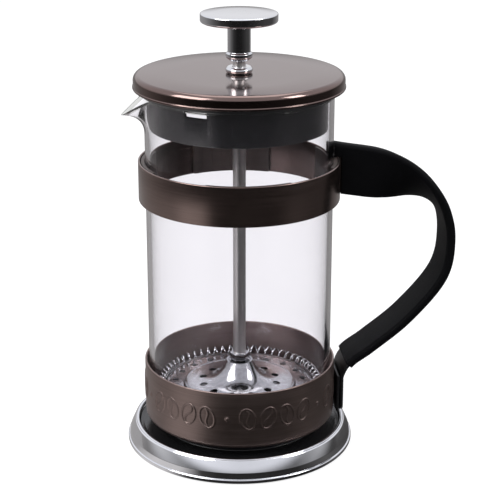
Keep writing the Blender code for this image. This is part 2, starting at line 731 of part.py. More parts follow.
def make_handle(rivet_holes):
    frames = grip_frames()
    half_width = STRAP_WIDTH / 2
    head = frames[0]
    run_in = ROOT_X - GLASS_RADIUS + 2 * OVERCUT
    frames.insert(0, (head[0] - head[3] * run_in, *head[1:]))
    half_face = STRAP_THICKNESS / 2
    strap = loft("handle_strap", frames, [(half_width, half_face)] * len(frames), 0)
    low = BAND_BOTTOM - STRAP_WIDTH / 2
    high = BAND_TOP + STRAP_WIDTH / 2
    root_space = disc("root_space", ROOT_X, low, high, BEAKER_STEPS, CUTTERS)
    combine(strap, rivet_holes + [root_space])
    add_finish(strap, BLACK_STEEL)

    ear_half = EAR_FACE + BAND_WALL + SLEEVE_GAP
    ear_reach = ROOT_X + EAR_LENGTH
    end_height = TAB_TOP + SLEEVE_END_LIFT
    covered = [frame for frame in frames if frame[0].z >= end_height]
    outer_sizes = []
    inner_sizes = []
    for centre, _width, _face, _along in covered:
        fade = min(max((centre.x - ear_reach - EAR_MARGIN) / EAR_TAPER, 0.0), 1.0)
        if centre.z < ROOT_Z - STRAP_WIDTH:
            fade = 1.0
        inner = ear_half + (half_face + SLEEVE_GAP - ear_half) * fade
        outer_sizes.append((half_width + SLEEVE_GAP + SLEEVE_EDGE, inner + SLEEVE_SKIN))
        inner_sizes.append((half_width + SLEEVE_GAP, inner))
    sleeve = loft("handle_sleeve", covered, outer_sizes, SLEEVE_CORNER)
    head = covered[0]
    tail = covered[-1]
    bore_frames = [(head[0] - head[3] * OVERCUT, *head[1:])] + covered
    bore_frames.append((tail[0] + tail[3] * OVERCUT, *tail[1:]))
    bore_sizes = [inner_sizes[0]] + inner_sizes + [inner_sizes[-1]]
    bore = loft("sleeve_bore", bore_frames, bore_sizes, 0, CUTTERS)
    band_space = disc("band_space", SLEEVE_START, low, BAND_TOP + GAP, BEAKER_STEPS, CUTTERS)
    glass_space = disc("glass_space", GLASS_RADIUS + GAP, low, high, BEAKER_STEPS, CUTTERS)
    combine(sleeve, [bore, band_space, glass_space])
    add_finish(sleeve, RUBBER)


# ---------------------------------------------------------------- beaker
def make_beaker():
    outline = rounded([
        (0.0, FLOOR_TOP, 0),
        (GLASS_INNER, FLOOR_TOP, GLASS_CORNER - GLASS_WALL),
        (GLASS_INNER, GLASS_RIM - SPOUT_DEPTH, 0),
        (GLASS_INNER, GLASS_RIM - 0.5 * SPOUT_DEPTH, 0),
        (GLASS_INNER, GLASS_RIM - 0.25 * SPOUT_DEPTH, 0),
        (GLASS_INNER, GLASS_RIM, 0),
        (GLASS_RADIUS, GLASS_RIM, 0),
        (GLASS_RADIUS, GLASS_RIM - 0.25 * SPOUT_DEPTH, 0),
        (GLASS_RADIUS, GLASS_RIM - 0.5 * SPOUT_DEPTH, 0),
        (GLASS_RADIUS, GLASS_RIM - SPOUT_DEPTH, 0),
        (GLASS_RADIUS, GLASS_BOTTOM, GLASS_CORNER),
        (0.0, GLASS_BOTTOM, 0),
    ])
    beaker = as_mesh(turned("glass_beaker", outline, BEAKER_STEPS, closed=False))
    for vertex in beaker.data.vertices:
        place = vertex.co
        level = (place.z - (GLASS_RIM - SPOUT_DEPTH)) / SPOUT_DEPTH
        radius = math.hypot(place.x, place.y)
        if level <= 0 or radius == 0:
            continue
        away = math.pi - abs(math.atan2(place.y, place.x))
        if away >= SPOUT_HALF_ANGLE:
            continue
        share = 0.5 + 0.5 * math.cos(math.pi * away / SPOUT_HALF_ANGLE)
        reach = SPOUT_REACH * share ** SPOUT_SPREAD * level ** SPOUT_CURL
        place.x *= (radius + reach) / radius
        place.y *= 1.0 - SPOUT_PINCH * share * level
        place.z -= SPOUT_DROOP * share ** SPOUT_SPREAD * level ** 2
    shade(beaker, 50.0)
    add_finish(beaker, CLEAR_GLASS)
    return beaker


# ---------------------------------------------------------------- lid
def make_lid():
    inner = LID_RADIUS - LID_WALL
    stem_hole = BUSH_STEM + GAP
    under = LID_TOP - LID_WALL
    outline = rounded([
        (stem_hole, LID_TOP, 0),
        (LID_RADIUS, LID_TOP, LID_EDGE),
        (LID_RADIUS, LID_TOP - LID_SKIRT, 0),
        (inner, LID_TOP - LID_SKIRT, 0),
        (inner, under, LID_EDGE - LID_WALL),
        (stem_hole, under, 0),
    ])
    cover = turned("lid_cover", outline, WIDE_STEPS)
    add_finish(cover, BRONZE)

    snap = inner - 2 * GAP
    skirt_inner = COLLAR_RADIUS - COLLAR_WALL
    flange_top = FLANGE_BOTTOM + FLANGE_HEIGHT
    roof = COLLAR_TOP - COLLAR_WALL
    bevel = LID_EDGE - LID_WALL  # clears the inside of the cover's rounded edge
    outline = [
        (snap - bevel, COLLAR_TOP),
        (snap, COLLAR_TOP - bevel),
        (snap, flange_top + COLLAR_STEP),
        (FLANGE_RADIUS, flange_top),
        (FLANGE_RADIUS, FLANGE_BOTTOM),
        (COLLAR_RADIUS, FLANGE_BOTTOM),
        (COLLAR_RADIUS, COLLAR_BOTTOM),
        (skirt_inner, COLLAR_BOTTOM),
        (skirt_inner, FLANGE_BOTTOM + COLLAR_WALL),
        (FLANGE_RADIUS - COLLAR_WALL, FLANGE_BOTTOM + COLLAR_WALL),
        (FLANGE_RADIUS - COLLAR_WALL, roof),
        (stem_hole, roof),
        (stem_hole, COLLAR_TOP),
    ]
    collar = turned("lid_collar", outline, WIDE_STEPS)
    top = FLANGE_BOTTOM - WINDOW_DROP
    reach_in = skirt_inner - OVERCUT
    reach_out = COLLAR_RADIUS + OVERCUT
    cuts = [(0.0, WINDOW_WIDTH)]
    for number in range(STRAINER_SLOTS):
        turn = math.pi + (number - (STRAINER_SLOTS - 1) / 2) * STRAINER_PITCH
        cuts.append((turn, STRAINER_SLOT_WIDTH))
    cutters = []
    for turn, width in cuts:
        window = box(
            "lid_window_%d" % len(cutters), (reach_in, -width / 2, top - WINDOW_HEIGHT),
            (reach_out, width / 2, top), CUTTERS,
        )
        window.rotation_euler.z = WINDOW_ANGLE + turn
        cutters.append(window)
    combine(collar, cutters)
    add_finish(collar, GREY_PLASTIC)
    return cover, collar


def make_lid_bush():
    bead = BUSH_BEAD / 2
    outline = rounded([
        (BUSH_BORE, BUSH_TOP, 0),
        (BUSH_RADIUS, BUSH_TOP, 0.9 * bead),
        (BUSH_RADIUS, BUSH_BOTTOM, 0.9 * bead),
        (BUSH_STEM, BUSH_BOTTOM, 0),
        (BUSH_STEM, NUT_BOTTOM - BUSH_TAIL, 0),
        (BUSH_BORE, NUT_BOTTOM - BUSH_TAIL, 0),
    ])
    bush = turned("lid_bush", outline, SMALL_STEPS)
    add_finish(bush, CHROME)
    bore = BUSH_STEM + GAP
    washer = ring(
        "lid_washer", bore, WASHER_RADIUS, WASHER_TOP - WASHER_THICKNESS, WASHER_TOP, SMALL_STEPS
    )
    add_finish(washer, STEEL)
    nut = hexagon_nut("lid_nut", NUT_RADIUS, bore, NUT_BOTTOM, NUT_TOP)
    add_finish(nut, STEEL)
    return bush, washer, nut


# ---------------------------------------------------------------- plunger
def make_knob():
    bore = ROD_RADIUS + RUN_GAP
    disc_bottom = KNOB_TOP - KNOB_THICKNESS
    bead_top = KNOB_BOTTOM + KNOB_BEAD_HEIGHT
    outline = rounded([
        (0.0, KNOB_TOP, 0),
        (KNOB_RADIUS, KNOB_TOP, KNOB_TOP_EDGE),
        (KNOB_RADIUS, disc_bottom, KNOB_UNDER_EDGE),
        (KNOB_STEM_RADIUS, disc_bottom - KNOB_UNDERCUT, 0.8 * MM),
        (KNOB_STEM_RADIUS, bead_top, 0),
        (KNOB_BEAD_RADIUS, bead_top - (KNOB_BEAD_RADIUS - KNOB_STEM_RADIUS), 0.5 * MM),
        (KNOB_BEAD_RADIUS, KNOB_BOTTOM, 1.0 * MM),
        (bore, KNOB_BOTTOM, 0),
        (bore, KNOB_BOTTOM + KNOB_BORE_DEPTH, 0),
        (0.0, KNOB_BOTTOM + KNOB_BORE_DEPTH, 0),
    ])
    knob = turned("knob", outline, KNOB_STEPS, closed=False)
    add_finish(knob, CHROME)
    return knob


def make_rod():
    bottom = CROSS_WELL + GAP
    top = KNOB_BOTTOM + KNOB_BORE_DEPTH - GAP
    rod = disc("plunger_rod", ROD_RADIUS, bottom, top, SMALL_STEPS)
    add_finish(rod, STEEL)
    return rod


def make_filter():
    hub_hole = CROSS_HUB_RADIUS + GAP
    cross_radius = GLASS_INNER - CROSS_EDGE_INSET
    cross = turned("cross_plate", [
        (0.0, CROSS_WELL),
        (ROD_RADIUS + GAP, CROSS_WELL),
        (ROD_RADIUS + GAP, CROSS_HUB_TOP),
        (CROSS_HUB_RADIUS, CROSS_HUB_TOP),
        (CROSS_HUB_RADIUS, CROSS_TOP),
        (cross_radius, CROSS_TOP),
        (cross_radius, CROSS_BOTTOM),
        (0.0, CROSS_BOTTOM),
    ], WIDE_STEPS, closed=False)
    windows = []
    inner = CROSS_HUB_RADIUS + CROSS_WIDTH / 2
    outer = cross_radius - CROSS_WIDTH / 2
    for number in range(4):
        middle = math.radians(45.0 + 90.0 * number)
        spread_in = math.radians(45.0) - CROSS_WIDTH / 2 / inner
        spread_out = math.radians(45.0) - CROSS_WIDTH / 2 / outer
        outline = arc(outer, middle - spread_out, middle + spread_out, 6)
        outline += arc(inner, middle + spread_in, middle - spread_in, 3)
        window = outline_solid("cross_window_%d" % number, outline, CROSS_BOTTOM - GAP, CROSS_TOP + GAP)
        PARTS.objects.unlink(window)
        CUTTERS.objects.link(window)
        window.hide_render = True
        window.display_type = "WIRE"
        windows.append(window)
    combine(cross, windows)
    add_finish(cross, STEEL)

    mesh_filter = ring(
        "mesh_filter", hub_hole, GLASS_INNER - MESH_EDGE_INSET, MESH_BOTTOM, MESH_BOTTOM + MESH_THICKNESS
    )
    add_finish(mesh_filter, STEEL)

    neck = hub_hole + PLATE_NECK_FLAT
    slope = PLATE_FOLD_RADIUS - neck
    upper = [(hub_hole, PLATE_FOLD + PLATE_RISE)]
    for share in (0.0, 0.08, 0.18, 0.32, 0.55):
        drop = (1 - share) ** PLATE_NECK_CURVE
        upper.append((neck + slope * share, PLATE_FOLD + PLATE_RISE * drop))
    upper.append((PLATE_FOLD_RADIUS, PLATE_FOLD))
    upper.append((PLATE_FOLD_RADIUS + PLATE_FOLD_WIDTH, PLATE_BOTTOM))
    upper.append((PLATE_RADIUS, PLATE_BOTTOM))
    top_side = [(r, z + PLATE_THICKNESS) for r, z in upper]
    plate = turned("spring_plate", top_side + list(reversed(upper)), WIDE_STEPS)
    holes = []
    for number in range(PLATE_HOLES):
        angle = math.tau * (number + 0.125) / PLATE_HOLES  # between the plate's facets
        away = (PLATE_FOLD_RADIUS + PLATE_FOLD_WIDTH + PLATE_RADIUS) / 2
        hole = disc(
            "plate_hole_%d" % number, PLATE_HOLE_RADIUS, PLATE_BOTTOM - 2 * GAP,
            PLATE_BOTTOM + 2 * PLATE_THICKNESS, 10, CUTTERS,
        )
        hole.location = (away * math.cos(angle), away * math.sin(angle), 0.0)
        holes.append(hole)
    combine(plate, holes)
    add_finish(plate, STEEL)

    spring = make_edge_spring()
    nut = hexagon_nut(
        "filter_nut", FILTER_NUT_RADIUS, ROD_RADIUS + RUN_GAP,
        FILTER_NUT_BOTTOM, FILTER_NUT_BOTTOM + FILTER_NUT_HEIGHT,
    )
    add_finish(nut, STEEL)
    return cross, mesh_filter, plate, spring, nut


def make_edge_spring():
    """A closed coil round the filter's edge."""
    points_per_turn = 5
    count = COIL_TURNS * points_per_turn
    curve = bpy.data.curves.new("edge_spring", "CURVE")
    curve.dimensions = "3D"
    curve.bevel_depth = COIL_WIRE_RADIUS
    curve.bevel_resolution = 0
    curve.render_resolution_u = 0
    spline = curve.splines.new("POLY")
    spline.points.add(count - 1)
    for i, point in enumerate(spline.points):
        round_press = math.tau * i / count
        round_coil = math.tau * i / points_per_turn
        away = COIL_CIRCLE + COIL_RADIUS * math.cos(round_coil)
        height = COIL_HEIGHT + COIL_RADIUS * math.sin(round_coil)
        point.co = (away * math.cos(round_press), away * math.sin(round_press), height, 1.0)
    spline.use_cyclic_u = True
    spring = add_object("edge_spring", curve)
    bpy.context.view_layer.update()
    spring = as_mesh(spring)
    add_finish(spring, STEEL)
    return spring


# ---------------------------------------------------------------- joints
def joint_empty(name, parent=None):
    """An empty on the press's axis that carries the pieces of one joint."""
    empty = add_object(name, None)
    empty.empty_display_size = 0.02
    empty.parent = parent
    return empty


def carry(empty, pieces):
    for piece in pieces:
        piece.parent = empty


def build_press():
    screw_holes = make_base()
    lower_holes = make_lower_rivets()
    upper_holes = make_upper_rivets()
    make_lower_cup(screw_holes, lower_holes)
    make_upper_band(upper_holes)
    make_handle(lower_holes + upper_holes)
    beaker = make_beaker()
    lid_pieces = make_lid()
    bush_pieces = make_lid_bush()
    knob = make_knob()
    rod = make_rod()
    filter_pieces = make_filter()

    beaker_slide = joint_empty("beaker_lift_axis")
    lid_slide = joint_empty("lid_lift_axis", beaker_slide)
    lid_turn = joint_empty("lid_turn_axis", lid_slide)
    rod_slide = joint_empty("plunger_slide_axis", lid_slide)
    filter_turn = joint_empty("filter_turn_axis", rod_slide)
    carry(beaker_slide, [beaker])
    carry(lid_slide, bush_pieces)
    carry(lid_turn, lid_pieces)
    carry(rod_slide, [rod, knob])
    carry(filter_turn, filter_pieces)


build_press()
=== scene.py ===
"""Looks of the french press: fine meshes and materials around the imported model.

Lengths are in metres.  The press stands on its base, its handle points along +X and its spout along -X.
"""
import math

import bmesh
import bpy
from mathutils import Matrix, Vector


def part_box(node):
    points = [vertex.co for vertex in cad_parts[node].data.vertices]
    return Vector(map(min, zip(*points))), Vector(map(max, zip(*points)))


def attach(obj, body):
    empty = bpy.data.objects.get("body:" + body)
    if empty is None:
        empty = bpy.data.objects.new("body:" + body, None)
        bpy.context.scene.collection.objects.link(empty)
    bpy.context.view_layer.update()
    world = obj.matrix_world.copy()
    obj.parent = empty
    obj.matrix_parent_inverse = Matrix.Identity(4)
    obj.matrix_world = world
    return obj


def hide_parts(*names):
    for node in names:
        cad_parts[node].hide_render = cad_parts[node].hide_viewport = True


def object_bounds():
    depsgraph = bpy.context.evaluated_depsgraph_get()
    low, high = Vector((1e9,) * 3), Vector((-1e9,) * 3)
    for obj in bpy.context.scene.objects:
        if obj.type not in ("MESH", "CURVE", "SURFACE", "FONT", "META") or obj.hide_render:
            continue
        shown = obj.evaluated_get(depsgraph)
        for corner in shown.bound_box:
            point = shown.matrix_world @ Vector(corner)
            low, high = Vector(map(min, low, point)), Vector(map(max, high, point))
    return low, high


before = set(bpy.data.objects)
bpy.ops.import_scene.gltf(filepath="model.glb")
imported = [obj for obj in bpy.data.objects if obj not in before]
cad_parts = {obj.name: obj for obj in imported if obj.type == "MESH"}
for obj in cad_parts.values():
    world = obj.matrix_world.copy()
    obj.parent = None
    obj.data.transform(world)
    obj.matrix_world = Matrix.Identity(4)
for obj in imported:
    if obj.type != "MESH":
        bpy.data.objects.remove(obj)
cad_low, cad_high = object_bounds()

MM = 0.001
GAP = 0.3 * MM  # between pieces that rest on each other

WIDE = 192  # steps round the wide pieces
SMALL = 96  # steps round the rod, the bush and the knob
FINE_ARC = 6  # spans in a rounded corner of a profile

# ---------------------------------------------------------------- sizes the frame's boxes don't give
GLASS_WALL = 1.8 * MM
GLASS_FLOOR = 2.5 * MM
GLASS_CORNER = 5.0 * MM
SPOUT_DROOP = 8.0 * MM
SPOUT_DEPTH = 16.0 * MM
SPOUT_HALF_ANGLE = math.radians(24.0)
SHEET = 0.8 * MM  # wall of the cup, the band and the lid
CUP_CORNER = 2.0 * MM
HUB_OPENING = 10.0 * MM
SEAT_RADIUS = 31.0 * MM
TRENCH_DEPTH = 3.6 * MM
INSERT_WALL = 2.0 * MM
STRAP_WIDTH = 18.2 * MM
STRAP_THICKNESS = 1.2 * MM
TAB_HEIGHT = 14.5 * MM
HANDLE_RISE = 2.8 * MM
EAR_BEND = 0.6 * MM
EAR_FACE = STRAP_THICKNESS / 2 + GAP
EAR_LENGTH = 8.0 * MM
EAR_HEIGHT = 12.4 * MM
EAR_MARGIN = 3.5 * MM
EAR_TAPER = 8.0 * MM
SLEEVE_GAP = 0.2 * MM
SLEEVE_EDGE = 0.6 * MM
SLEEVE_SKIN = 1.0 * MM
SLEEVE_END_LIFT = 4.9 * MM
TWIST_START = 0.06
TWIST_END = 0.34
COLLAR_WALL = 1.6 * MM
STRAINER_PITCH = math.radians(6.0)
WINDOW_ANGLE = math.radians(-123.5)
# The grip's curve: (share of the reach, share of the height from the tab up to the root).
GRIP_SHAPE = (
    (0.343, 0.966),
    (0.701, 0.904),
    (0.936, 0.804),
    (1.000, 0.651),
    (0.930, 0.476),
    (0.617, 0.284),
    (0.278, 0.145),
    (0.080, 0.073),
)


def low(node):
    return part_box(node)[0]


def high(node):
    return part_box(node)[1]


def add_object(name, data):
    piece = bpy.data.objects.new(name, data)
    bpy.context.scene.collection.objects.link(piece)
    return piece


def add_node(nodes, kind, operation=None, second=None, **values):
    """A new node with its operation, its second input's value and the values of named inputs."""
    node = nodes.new("ShaderNode" + kind)
    if operation is not None:
        node.operation = operation
    if second is not None:
        node.inputs[1].default_value = second
    for socket, value in values.items():
        node.inputs[socket.replace("_", " ")].default_value = value
    return node


# ---------------------------------------------------------------- camera, lights, floor and world
FRONT = math.radians(-95.74)  # from the press towards the camera
CAMERA_PLACE = (-0.05584, -0.55576, 0.27253)
CAMERA_TURN = (math.radians(71.024), 0.0, math.radians(-6.0))
CAMERA_LENS = 110.91  # in millimetres, for a sensor 36 mm wide
FLOOR_REACH = 12.0
FLOOR_TONE = 0.27
FLOOR_GLOW = 0.80
NEAR_ZONE = (0.36, 0.44)  # where the floor's reflection fades out, measured from the press
WARM = (1.03, 1.0, 1.0)


def add_camera():
    data = bpy.data.cameras.new("camera")
    data.lens = CAMERA_LENS
    data.sensor_width = 36.0
    data.clip_start = 0.01
    data.clip_end = 50.0
    camera = add_object("camera", data)
    camera.location = CAMERA_PLACE
    camera.rotation_euler = CAMERA_TURN
    bpy.context.scene.camera = camera


def add_softbox(name, azimuth, elevation, distance, size, power):
    """A soft light that looks at the press's middle; azimuth is measured from the camera's side."""
    data = bpy.data.lights.new(name, "AREA")
    data.shape = "RECTANGLE"
    data.size, data.size_y = size
    data.energy = power
    lamp = add_object(name, data)
    turn = FRONT + math.radians(azimuth)
    rise = math.radians(elevation)
    away = Vector((math.cos(turn) * math.cos(rise), math.sin(turn) * math.cos(rise), math.sin(rise)))
    target = (cad_low + cad_high) / 2
    lamp.location = target + away * distance
    lamp.rotation_euler = away.to_track_quat("Z", "Y").to_euler()
    lamp.visible_camera = False


def add_floor():
    """A pale floor, bright enough that the press's shadow on it stays faint.

    Reflections see FLOOR_NEAR on it close to the press, and the room's lower part further out.
    """
    mesh = bpy.data.meshes.new("floor")
    corners = [(x * FLOOR_REACH, y * FLOOR_REACH, 0.0) for x, y in ((-1, -1), (1, -1), (1, 1), (-1, 1))]
    mesh.from_pydata(corners, [], [(0, 1, 2, 3)])
    floor = add_object("floor", mesh)
    material = bpy.data.materials.new("floor_white")
    material.use_nodes = True
    nodes = material.node_tree.nodes
    links = material.node_tree.links
    shader = nodes["Principled BSDF"]
    shader.inputs["Base Color"].default_value = (FLOOR_TONE, FLOOR_TONE, FLOOR_TONE, 1.0)
    shader.inputs["Roughness"].default_value = 1.0
    shader.inputs["Specular IOR Level"].default_value = 0.0
    shader.inputs["Emission Color"].default_value = (1.0, 1.0, 1.0, 1.0)
    shader.inputs["Emission Strength"].default_value = FLOOR_GLOW
    path = add_node(nodes, "LightPath")
    reflected = add_node(nodes, "Math", "GREATER_THAN", 0.5)
    links.new(path.outputs["Glossy Depth"], reflected.inputs[0])
    coords = add_node(nodes, "TexCoord")
    share = turn_share(nodes, links, coords.outputs["Object"])
    ramp = add_ramp(nodes, FLOOR_NEAR, WARM)
    links.new(share, ramp.inputs["Fac"])
    glow = add_node(nodes, "Emission")
    links.new(ramp.outputs["Color"], glow.inputs["Color"])
    distance = add_node(nodes, "VectorMath", "LENGTH")
    links.new(coords.outputs["Object"], distance.inputs[0])
    near = add_node(nodes, "MapRange", From_Min=NEAR_ZONE[1], From_Max=NEAR_ZONE[0])
    near.interpolation_type = "SMOOTHSTEP"
    links.new(distance.outputs["Value"], near.inputs["Value"])
    clear = add_node(nodes, "BsdfTransparent")
    lower = add_node(nodes, "MixShader")
    links.new(near.outputs["Result"], lower.inputs["Fac"])
    links.new(clear.outputs["BSDF"], lower.inputs[1])
    links.new(glow.outputs["Emission"], lower.inputs[2])
    mix = add_node(nodes, "MixShader")
    links.new(reflected.outputs["Value"], mix.inputs["Fac"])
    links.new(shader.outputs["BSDF"], mix.inputs[1])
    links.new(lower.outputs["Shader"], mix.inputs[2])
    links.new(mix.outputs["Shader"], nodes["Material Output"].inputs["Surface"])
    mesh.materials.append(material)


# What reflections see: (angle from the camera's side in degrees, brightness).
FLOOR_NEAR = (
    (-180, 0.33), (-120, 0.38), (-78, 0.38), (-60, 0.68), (-42, 0.62), (-28, 0.05), (-14, 0.022),
    (40, 0.022), (60, 0.10), (88, 0.06), (112, 0.08), (140, 0.26), (180, 0.33),
)
ROOM_BELOW = (
    (-180, 0.33), (-120, 0.28), (-81, 0.11), (-54, 0.035), (-20, 0.012), (20, 0.012), (54, 0.03),
    (80, 0.05), (113, 0.06), (150, 0.26), (180, 0.33),
)
ROOM_LOW = (
    (-180, 0.90), (-110, 0.80), (-75, 0.45), (-45, 0.12), (-20, 0.02), (20, 0.02), (60, 0.16),
    (100, 0.55), (130, 0.80), (180, 0.90),
)
ROOM_ABOVE = (
    (-180, 0.92), (-100, 0.98), (-60, 1.05), (-30, 0.92), (0, 0.80), (45, 0.85), (90, 0.95),
    (135, 0.92), (180, 0.92),
)


def bounced(nodes, links):
    """1 where light has come by way of a reflection, 0 where the view goes straight or through glass."""
    path = add_node(nodes, "LightPath")
    depth = add_node(nodes, "Math", "ADD")
    links.new(path.outputs["Glossy Depth"], depth.inputs[0])
    links.new(path.outputs["Diffuse Depth"], depth.inputs[1])
    any_bounce = add_node(nodes, "Math", "GREATER_THAN", 0.5)
    links.new(depth.outputs["Value"], any_bounce.inputs[0])
    return any_bounce.outputs["Value"]


def turn_share(nodes, links, vector):
    """Where a direction lies in a full turn from the side away from the camera, 0 to 1."""
    parts = []
    for direction in (FRONT, FRONT + math.pi / 2):
        way = (math.cos(direction), math.sin(direction), 0.0)
        facing = add_node(nodes, "VectorMath", "DOT_PRODUCT", way)
        links.new(vector, facing.inputs[0])
        parts.append(facing.outputs["Value"])
    turn = add_node(nodes, "Math", "ARCTAN2")
    links.new(parts[1], turn.inputs[0])
    links.new(parts[0], turn.inputs[1])
    share = add_node(nodes, "MapRange", From_Min=-math.pi, From_Max=math.pi)
    links.new(turn.outputs["Value"], share.inputs["Value"])
    return share.outputs["Result"]


def add_ramp(nodes, stops, tint):
    """A colour ramp over a full turn."""
    ramp = add_node(nodes, "ValToRGB")
    elements = ramp.color_ramp.elements
    while len(elements) < len(stops):
        elements.new(0.5)
    for element, (angle, value) in zip(elements, stops):
        element.position = (angle + 180.0) / 360.0
        element.color = (value * tint[0], value * tint[1], value * tint[2], 1.0)
    return ramp


def add_world():
    """White to the eye; to reflections a room that is bright above and has a dark front."""
    world = bpy.data.worlds.new("studio")
    world.use_nodes = True
    bpy.context.scene.world = world
    nodes = world.node_tree.nodes
    links = world.node_tree.links
    nodes.clear()
    coords = add_node(nodes, "TexCoord")
    share = turn_share(nodes, links, coords.outputs["Generated"])
    height = add_node(nodes, "SeparateXYZ")
    links.new(coords.outputs["Generated"], height.inputs["Vector"])
    light = None
    for stops, tint, span in (
        (ROOM_BELOW, WARM, None),
        (ROOM_LOW, (0.99, 0.99, 1.02), (0.04, 0.20)),
        (ROOM_ABOVE, (0.97, 0.98, 1.04), (0.26, 0.38)),
    ):
        ramp = add_ramp(nodes, stops, tint)
        links.new(share, ramp.inputs["Fac"])
        if span is None:
            light = ramp.outputs["Color"]
            continue
        lift = add_node(nodes, "MapRange", From_Min=span[0], From_Max=span[1])
        lift.interpolation_type = "SMOOTHSTEP"
        links.new(height.outputs["Z"], lift.inputs["Value"])
        blend = add_node(nodes, "Mix")
        blend.data_type = "RGBA"
        links.new(lift.outputs["Result"], blend.inputs["Factor"])
        links.new(light, blend.inputs["A"])
        links.new(ramp.outputs["Color"], blend.inputs["B"])
        light = blend.outputs["Result"]
    room = add_node(nodes, "Background")
    links.new(light, room.inputs["Color"])
    plain = add_node(nodes, "Background", Color=(1.0, 1.0, 1.0, 1.0))
    mix = add_node(nodes, "MixShader")
    links.new(bounced(nodes, links), mix.inputs["Fac"])
    links.new(plain.outputs["Background"], mix.inputs[1])
    links.new(room.outputs["Background"], mix.inputs[2])
    output = add_node(nodes, "OutputWorld")
    links.new(mix.outputs["Shader"], output.inputs["Surface"])


# ---------------------------------------------------------------- materials
PATCHINESS = 0.35  # share of the slow noise
NOISE_SPAN = (0.3, 0.7)  # what the mixed noise mostly lies between


def finish(name, tones, roughness, grain, stretch=(1.0, 1.0, 1.0), bump=0.1, depth=0.02 * MM,
           metallic=0.0, **sockets):
    """A material whose colour, roughness and bump follow a grain and a slow patchiness.

    tones are the darkest and the lightest colour, roughness its two ends, grain the number of
    grains a metre and stretch how much finer the grain is along each axis.
    """
    material = bpy.data.materials.new(name)
    material.use_nodes = True
    nodes = material.node_tree.nodes
    links = material.node_tree.links
    shader = nodes["Principled BSDF"]
    shader.inputs["Metallic"].default_value = metallic
    for socket, value in sockets.items():
        shader.inputs[socket.replace("_", " ")].default_value = value
    coords = add_node(nodes, "TexCoord")
    mapping = add_node(nodes, "Mapping", Scale=stretch)
    links.new(coords.outputs["Object"], mapping.inputs["Vector"])
    fine = add_node(nodes, "TexNoise", Scale=grain, Detail=4.0, Roughness=0.6)
    links.new(mapping.outputs["Vector"], fine.inputs["Vector"])
    slow = add_node(nodes, "TexNoise", Scale=45.0, Detail=3.0)
    links.new(coords.outputs["Object"], slow.inputs["Vector"])
    shift = add_node(nodes, "Math", "MULTIPLY", PATCHINESS)
    links.new(slow.outputs["Fac"], shift.inputs[0])
    blend = add_node(nodes, "Math", "MULTIPLY_ADD", 1 - PATCHINESS)
    links.new(fine.outputs["Fac"], blend.inputs[0])
    links.new(shift.outputs["Value"], blend.inputs[2])
    ramp = add_node(nodes, "ValToRGB")
    for element, place_on, tone in zip(ramp.color_ramp.elements, NOISE_SPAN, tones):
        element.position = place_on
        element.color = (*tone, 1.0)
    links.new(blend.outputs["Value"], ramp.inputs["Fac"])
    links.new(ramp.outputs["Color"], shader.inputs["Base Color"])
    spread = add_node(
        nodes, "MapRange", From_Min=NOISE_SPAN[0], From_Max=NOISE_SPAN[1],
        To_Min=roughness[0], To_Max=roughness[1],
    )
    links.new(blend.outputs["Value"], spread.inputs["Value"])
    links.new(spread.outputs["Result"], shader.inputs["Roughness"])
    relief = add_node(nodes, "Bump", Strength=bump, Distance=depth)
    links.new(fine.outputs["Fac"], relief.inputs["Height"])
    links.new(relief.outputs["Normal"], shader.inputs["Normal"])
    return material


def make_glass(name):
    """Clear glass that lets the lamps' light straight through, as thin glass does."""
    material = finish(
        name, ((0.885, 0.875, 0.895), (0.90, 0.89, 0.91)), (0.0, 0.012), 60.0, bump=0.02,
        Transmission_Weight=1.0, IOR=1.28,
    )
    nodes = material.node_tree.nodes
    links = material.node_tree.links
    through = add_node(nodes, "BsdfTransparent", Color=(0.945, 0.94, 0.95, 1.0))
    path = add_node(nodes, "LightPath")
    mix = add_node(nodes, "MixShader")
    links.new(path.outputs["Is Shadow Ray"], mix.inputs["Fac"])
    links.new(nodes["Principled BSDF"].outputs["BSDF"], mix.inputs[1])
    links.new(through.outputs["BSDF"], mix.inputs[2])
    links.new(mix.outputs["Shader"], nodes["Material Output"].inputs["Surface"])
    return material


